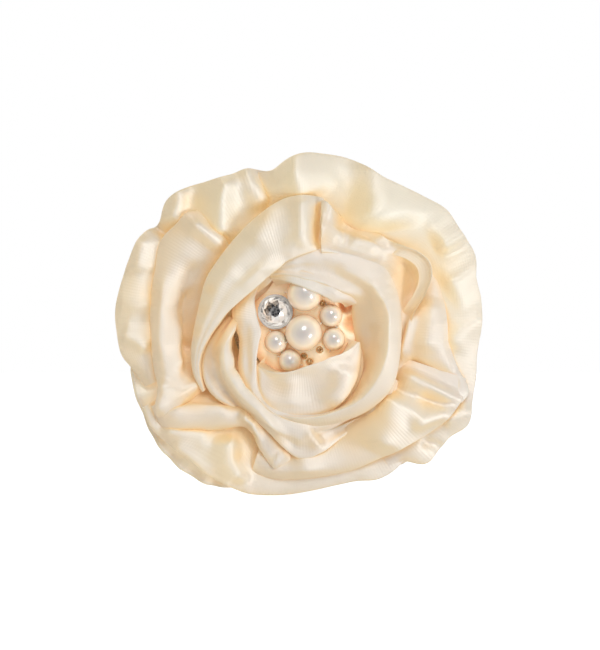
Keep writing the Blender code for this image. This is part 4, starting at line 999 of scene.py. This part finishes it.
def crystal_material():
    """Foiled cut glass: every facet gets its own painted glint, dark to white, standing in for the share of
    light it throws back, under a clear hard surface; the colour also glows faintly.
    """
    n = new_material("foiled crystal")
    # painted glint of each facet
    painted_glint = n.add("Attribute", attribute_name="painted_glint", attribute_type="GEOMETRY")["Fac"]
    # broken painted reflections across the facets
    shards = n.add("TexVoronoi", {"Scale": 1.6, "Vector": n.mapped("Object", 1000.0)})["Distance"]
    broken = n.times(shards, 0.5)
    tone = n.plus(n.math("SUBTRACT", painted_glint, 0.18), broken)
    color = n.ramp(tone, (0.05, (0.03, 0.03, 0.035)), (0.45, (0.42, 0.41, 0.40)), (0.8, (0.95, 0.94, 0.92)))
    n.set(Base_Color=color, Emission_Color=color, Emission_Strength=0.25, Metallic=0.55, Coat_Weight=1.0,
          Coat_Roughness=0.02, Roughness=n.line(broken, 0.2, 0.06))
    n.bump(broken, 0.1, 0.00004)
    return n.owner


def plated_material(name, color, dull, wear, metallic):
    """Plated metal with a faint drag of polishing, finger marks and dull spots."""
    n = new_material(name)
    metal = n.mapped("Object", 1000.0)
    marks = n.noise(metal, 0.9, 5.0, 0.6)
    worn = [channel * wear for channel in color]
    n.set(Base_Color=n.ramp(marks, (0.32, worn), (0.62, color)), Roughness=n.line(marks, 0.25, dull),
          Metallic=metallic)
    n.bump(n.noise(metal, 3.0, 2.0), 0.15, 0.00005)
    return n.owner


# ---------------------------------------------------------------- beads and metal

def keep_look(node, material, bevel):
    """A CAD node that stays in view with a better material and softened edges."""
    obj = frame["nodes"][node]
    obj.data.materials.clear()
    obj.data.materials.append(material)
    modifier = obj.modifiers.new("edges", "BEVEL")
    modifier.width = bevel * MM
    modifier.segments = 2
    modifier.limit_method = "ANGLE"
    modifier.angle_limit = math.radians(35)
    modifier.harden_normals = True


def pearl(node, material, thread, seed):
    """A pearl, not quite round, with its drilled hole and the thread that ties it to the satin."""
    centre, size = place(node)
    radius = size[0] / 2
    rng = np.random.default_rng(seed)
    axis = unit(np.array((-centre[1] - 1.0, centre[0] - 0.4, -0.35 * rng.random())))
    hole = DRILL / radius
    skin = [(radius * math.sin(a), -radius * math.cos(a)) for a in np.linspace(hole, math.pi - hole, 44)]
    lip = [(0.16, -0.6 * radius), (0.19, -0.97 * radius)]
    offset = turned_grid(lip + skin + [(r, -s) for r, s in lip[::-1]], np.zeros(3), axis, 56)
    wobble = np.sin(offset @ rng.normal(0, 0.5, 3) + seed) * 0.012
    grid = centre + offset * (1 + wobble[..., None])
    piece("nacre_" + node, [grid], material, node)
    down = np.array((0.0, 0.0, -1.0))
    grids = []
    for end in (-axis, axis):
        out = end * (1.0, 1.0, 0.0)
        points = centre + (0.7 * radius * end, radius * end, (radius + 0.35) * end + 0.3 * down,
                           (radius + 0.5) * out + 1.6 * down, (radius + 0.3) * out + 4.2 * down)
        grids.append(tube_grid(smooth_path(points, 20), BEAD_THREAD, np.cross(end, down)))
    piece("thread_" + node, grids, thread)


def seed_bead(node, material, seed):
    """A tiny glass bead: a fat ring with a wide hole."""
    centre, size = place(node)
    radius = size[0] / 2
    rng = np.random.default_rng(seed)
    arc = np.linspace(0, TURN, 25)
    profile = radius * np.stack((0.62 + 0.38 * np.cos(arc), 0.62 * np.sin(arc)), axis=-1)
    grid = turned_grid(profile, centre, (rng.normal(0, 1), rng.normal(0, 1), 0.6), 32)
    piece("glass_" + node, [grid], material, node)


def cut_stone(node, material, facets=8):
    """A round chaton: flat table, kite facets and two rings of small facets, each with its own painted
    glint.
    """
    centre, size = place(node)
    radius, front, twice = size[0] / 2, size[2], 2 * facets
    rings = ((facets, 0.36, 1.0, 0.0), (facets, 0.64, 0.86, 0.5), (twice, 0.80, 0.66, 0.5),
             (twice, 1.0, 0.36, 0.0), (twice, 0.98, 0.10, 0.0))
    points = [around(360 / count * (i + turn), out * radius, (rise - 0.5) * front)
              for count, out, rise, turn in rings for i in range(count)]
    kite, small, rim, base = facets, 2 * facets, 4 * facets, 6 * facets
    faces, painted_glint = [tuple(range(facets))], [0.10]
    rng = np.random.default_rng(5)
    for i in range(facets):
        ahead = (i + 1) % facets
        # kite facets turned towards one side get a brighter painted glint, as if lit from there
        facing = math.cos(TURN * (i + 0.5) / facets + math.pi / 3)
        behind, near, far = [small + (2 * i + step) % twice for step in (-1, 0, 1)]
        faces += [(i, kite + i, ahead), (ahead, kite + i, far, kite + ahead), (kite + i, near, far),
                  (kite + i, behind, near)]
        painted_glint += [0.42 + 0.45 * facing, 0.55 + 0.48 * facing]
        painted_glint += [0.5 + 0.5 * rng.random(), 0.4 + 0.6 * rng.random()]
    for i in range(twice):
        ahead = (i + 1) % twice
        faces += [(small + i, rim + i, small + ahead), (small + ahead, rim + i, rim + ahead),
                  (rim + i, base + i, base + ahead, rim + ahead)]
        painted_glint += [0.15 + 0.85 * rng.random(), 0.3 + 0.7 * rng.random(), 0.6]
    mesh = bpy.data.meshes.new("cut_stone")
    mesh.from_pydata(to_frame(centre + points).tolist(), [], faces)
    mesh.attributes.new("painted_glint", "FLOAT", "FACE").data.foreach_set("value", painted_glint)
    obj = add_object("cut_stone", mesh)
    dress(obj, material, node)
    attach(obj, "flower")


def beads(thread):
    nacre = pearl_material()
    gold = plated_material("champagne metal", (0.90, 0.70, 0.42), 0.12, 0.6, 0.7)
    for seed, node in enumerate(frame["nodes"]):
        if node.startswith("pearl"):
            pearl(node, nacre, thread, seed)
        if node.startswith("seed_bead"):
            seed_bead(node, gold, seed)
    keep_look("stone_setting", plated_material("mirror foil", (0.95, 0.91, 0.86), 0.10, 0.8, 0.5), 0.08)
    cut_stone("rhinestone", crystal_material())


def clip(steel):
    spring(steel)
    for node in ("clip_fixed_arm", "clip_moving_arm", "hinge_pin"):
        keep_look(node, steel, 0.12)


# ---------------------------------------------------------------- studio

def studio(half=3.0):
    """A plain white floor that glows softly for the camera."""
    mesh = bpy.data.meshes.new("floor")
    corners = ((-half, -half), (half, -half), (half, half), (-half, half))
    mesh.from_pydata([(*corner, FLOOR_Z) for corner in corners], [], [(0, 1, 2, 3)])
    n = new_material("white floor")
    strength = n.line(n.add("LightPath")["Is Camera Ray"], 0.45, 0.1)
    n.set(Base_Color=(0.95, 0.95, 0.95), Roughness=0.9, Specular_IOR_Level=0.0,
          Emission_Color=(1.0, 1.0, 1.0), Emission_Strength=strength)
    mesh.materials.append(n.owner)
    floor = add_object("floor", mesh)
    floor.visible_shadow = False          # the low key light shines up through it
    floor.visible_glossy = False


def world():
    """White to the camera. Reflections see it dim, dark near the camera and brighter behind the flower."""
    made = bpy.data.worlds.new("studio")
    bpy.context.scene.world = made
    n = Nodes(made)
    white = (1.0, 1.0, 1.0)
    depth = n.add("SeparateXYZ", {"Vector": n.add("TexCoord")["Generated"]})["Y"]
    turn = n.span(depth, -1.0, 1.0, 0.0, 1.0, "LINEAR")
    shine = n.span(turn, 0.70, 0.95, 0.14, 0.55, "LINEAR")
    path = n.add("LightPath")
    glow = n.add("Background", {
        "Color": n.ramp(turn, (0.02, (0.12, 0.12, 0.13)), (0.07, white)),
        "Strength": n.span(path["Is Glossy Ray"], 0.0, 1.0, 0.66, shine, "LINEAR")})["Background"]
    seen = n.add("Background", {"Color": white, "Strength": 1.0})["Background"]
    surface = n.tree.nodes["World Output"].inputs["Surface"]
    n.put(surface, n.blend(path["Is Camera Ray"], glow, seen))


def area_light(name, across, up, toward, size, power, distance=0.7):
    """A softbox facing the flower, from a direction given by shares across, up and toward the camera."""
    direction = Vector((across, -toward, up)).normalized()
    data = bpy.data.lights.new(name, "AREA")
    data.shape = "DISK"
    data.size = size
    data.energy = power
    light = add_object(name, data)
    light.location = direction * distance
    light.rotation_euler = (-direction).to_track_quat("-Z", "Y").to_euler()


def lighting():
    area_light("key right", 0.69, -0.30, 0.66, size=0.20, power=1.8)
    area_light("key above", 0.05, 0.50, 0.86, size=0.30, power=1.75)
    area_light("from behind", -0.45, 0.50, -0.74, size=0.35, power=0.8)


def camera(distance=1.2, frame_height=0.143):
    data = bpy.data.cameras.new("camera")
    data.lens = data.sensor_width * distance / frame_height
    data.clip_start = 0.05
    data.clip_end = 20.0
    obj = add_object("camera", data)
    obj.location = (0.0001, -distance, -0.0002)
    obj.rotation_euler = (math.radians(90), 0.0, 0.0)
    bpy.context.scene.camera = obj


def main():
    scene = bpy.context.scene
    scene.view_settings.view_transform = "Standard"
    scene.cycles.max_bounces = 16
    scene.cycles.diffuse_bounces = 8
    scene.cycles.glossy_bounces = 6
    scene.cycles.transmission_bounces = 8
    satin = satin_material()
    for seed, (name, shape) in enumerate(PETALS.items()):
        petal(name, shape, seed, satin)
    cushion(heart_material())
    ruffle(satin)
    thread = thread_material()
    beads(thread)
    felt = felt_material()
    rng = np.random.default_rng(3)
    piece("felt_disc", [soft_disc("felt_backing", rng, STITCH_COUNT)], felt, "felt_backing")
    stiff = soft_disc("stiff_base_disc", rng)
    piece("buckram_disc", [stiff], buckram_material(), "stiff_base_disc")
    fuzz(rng, felt)
    whip_stitches(thread)
    strap(felt, thread)
    clip(steel_material())
    world()
    studio()
    lighting()
    camera()


main()
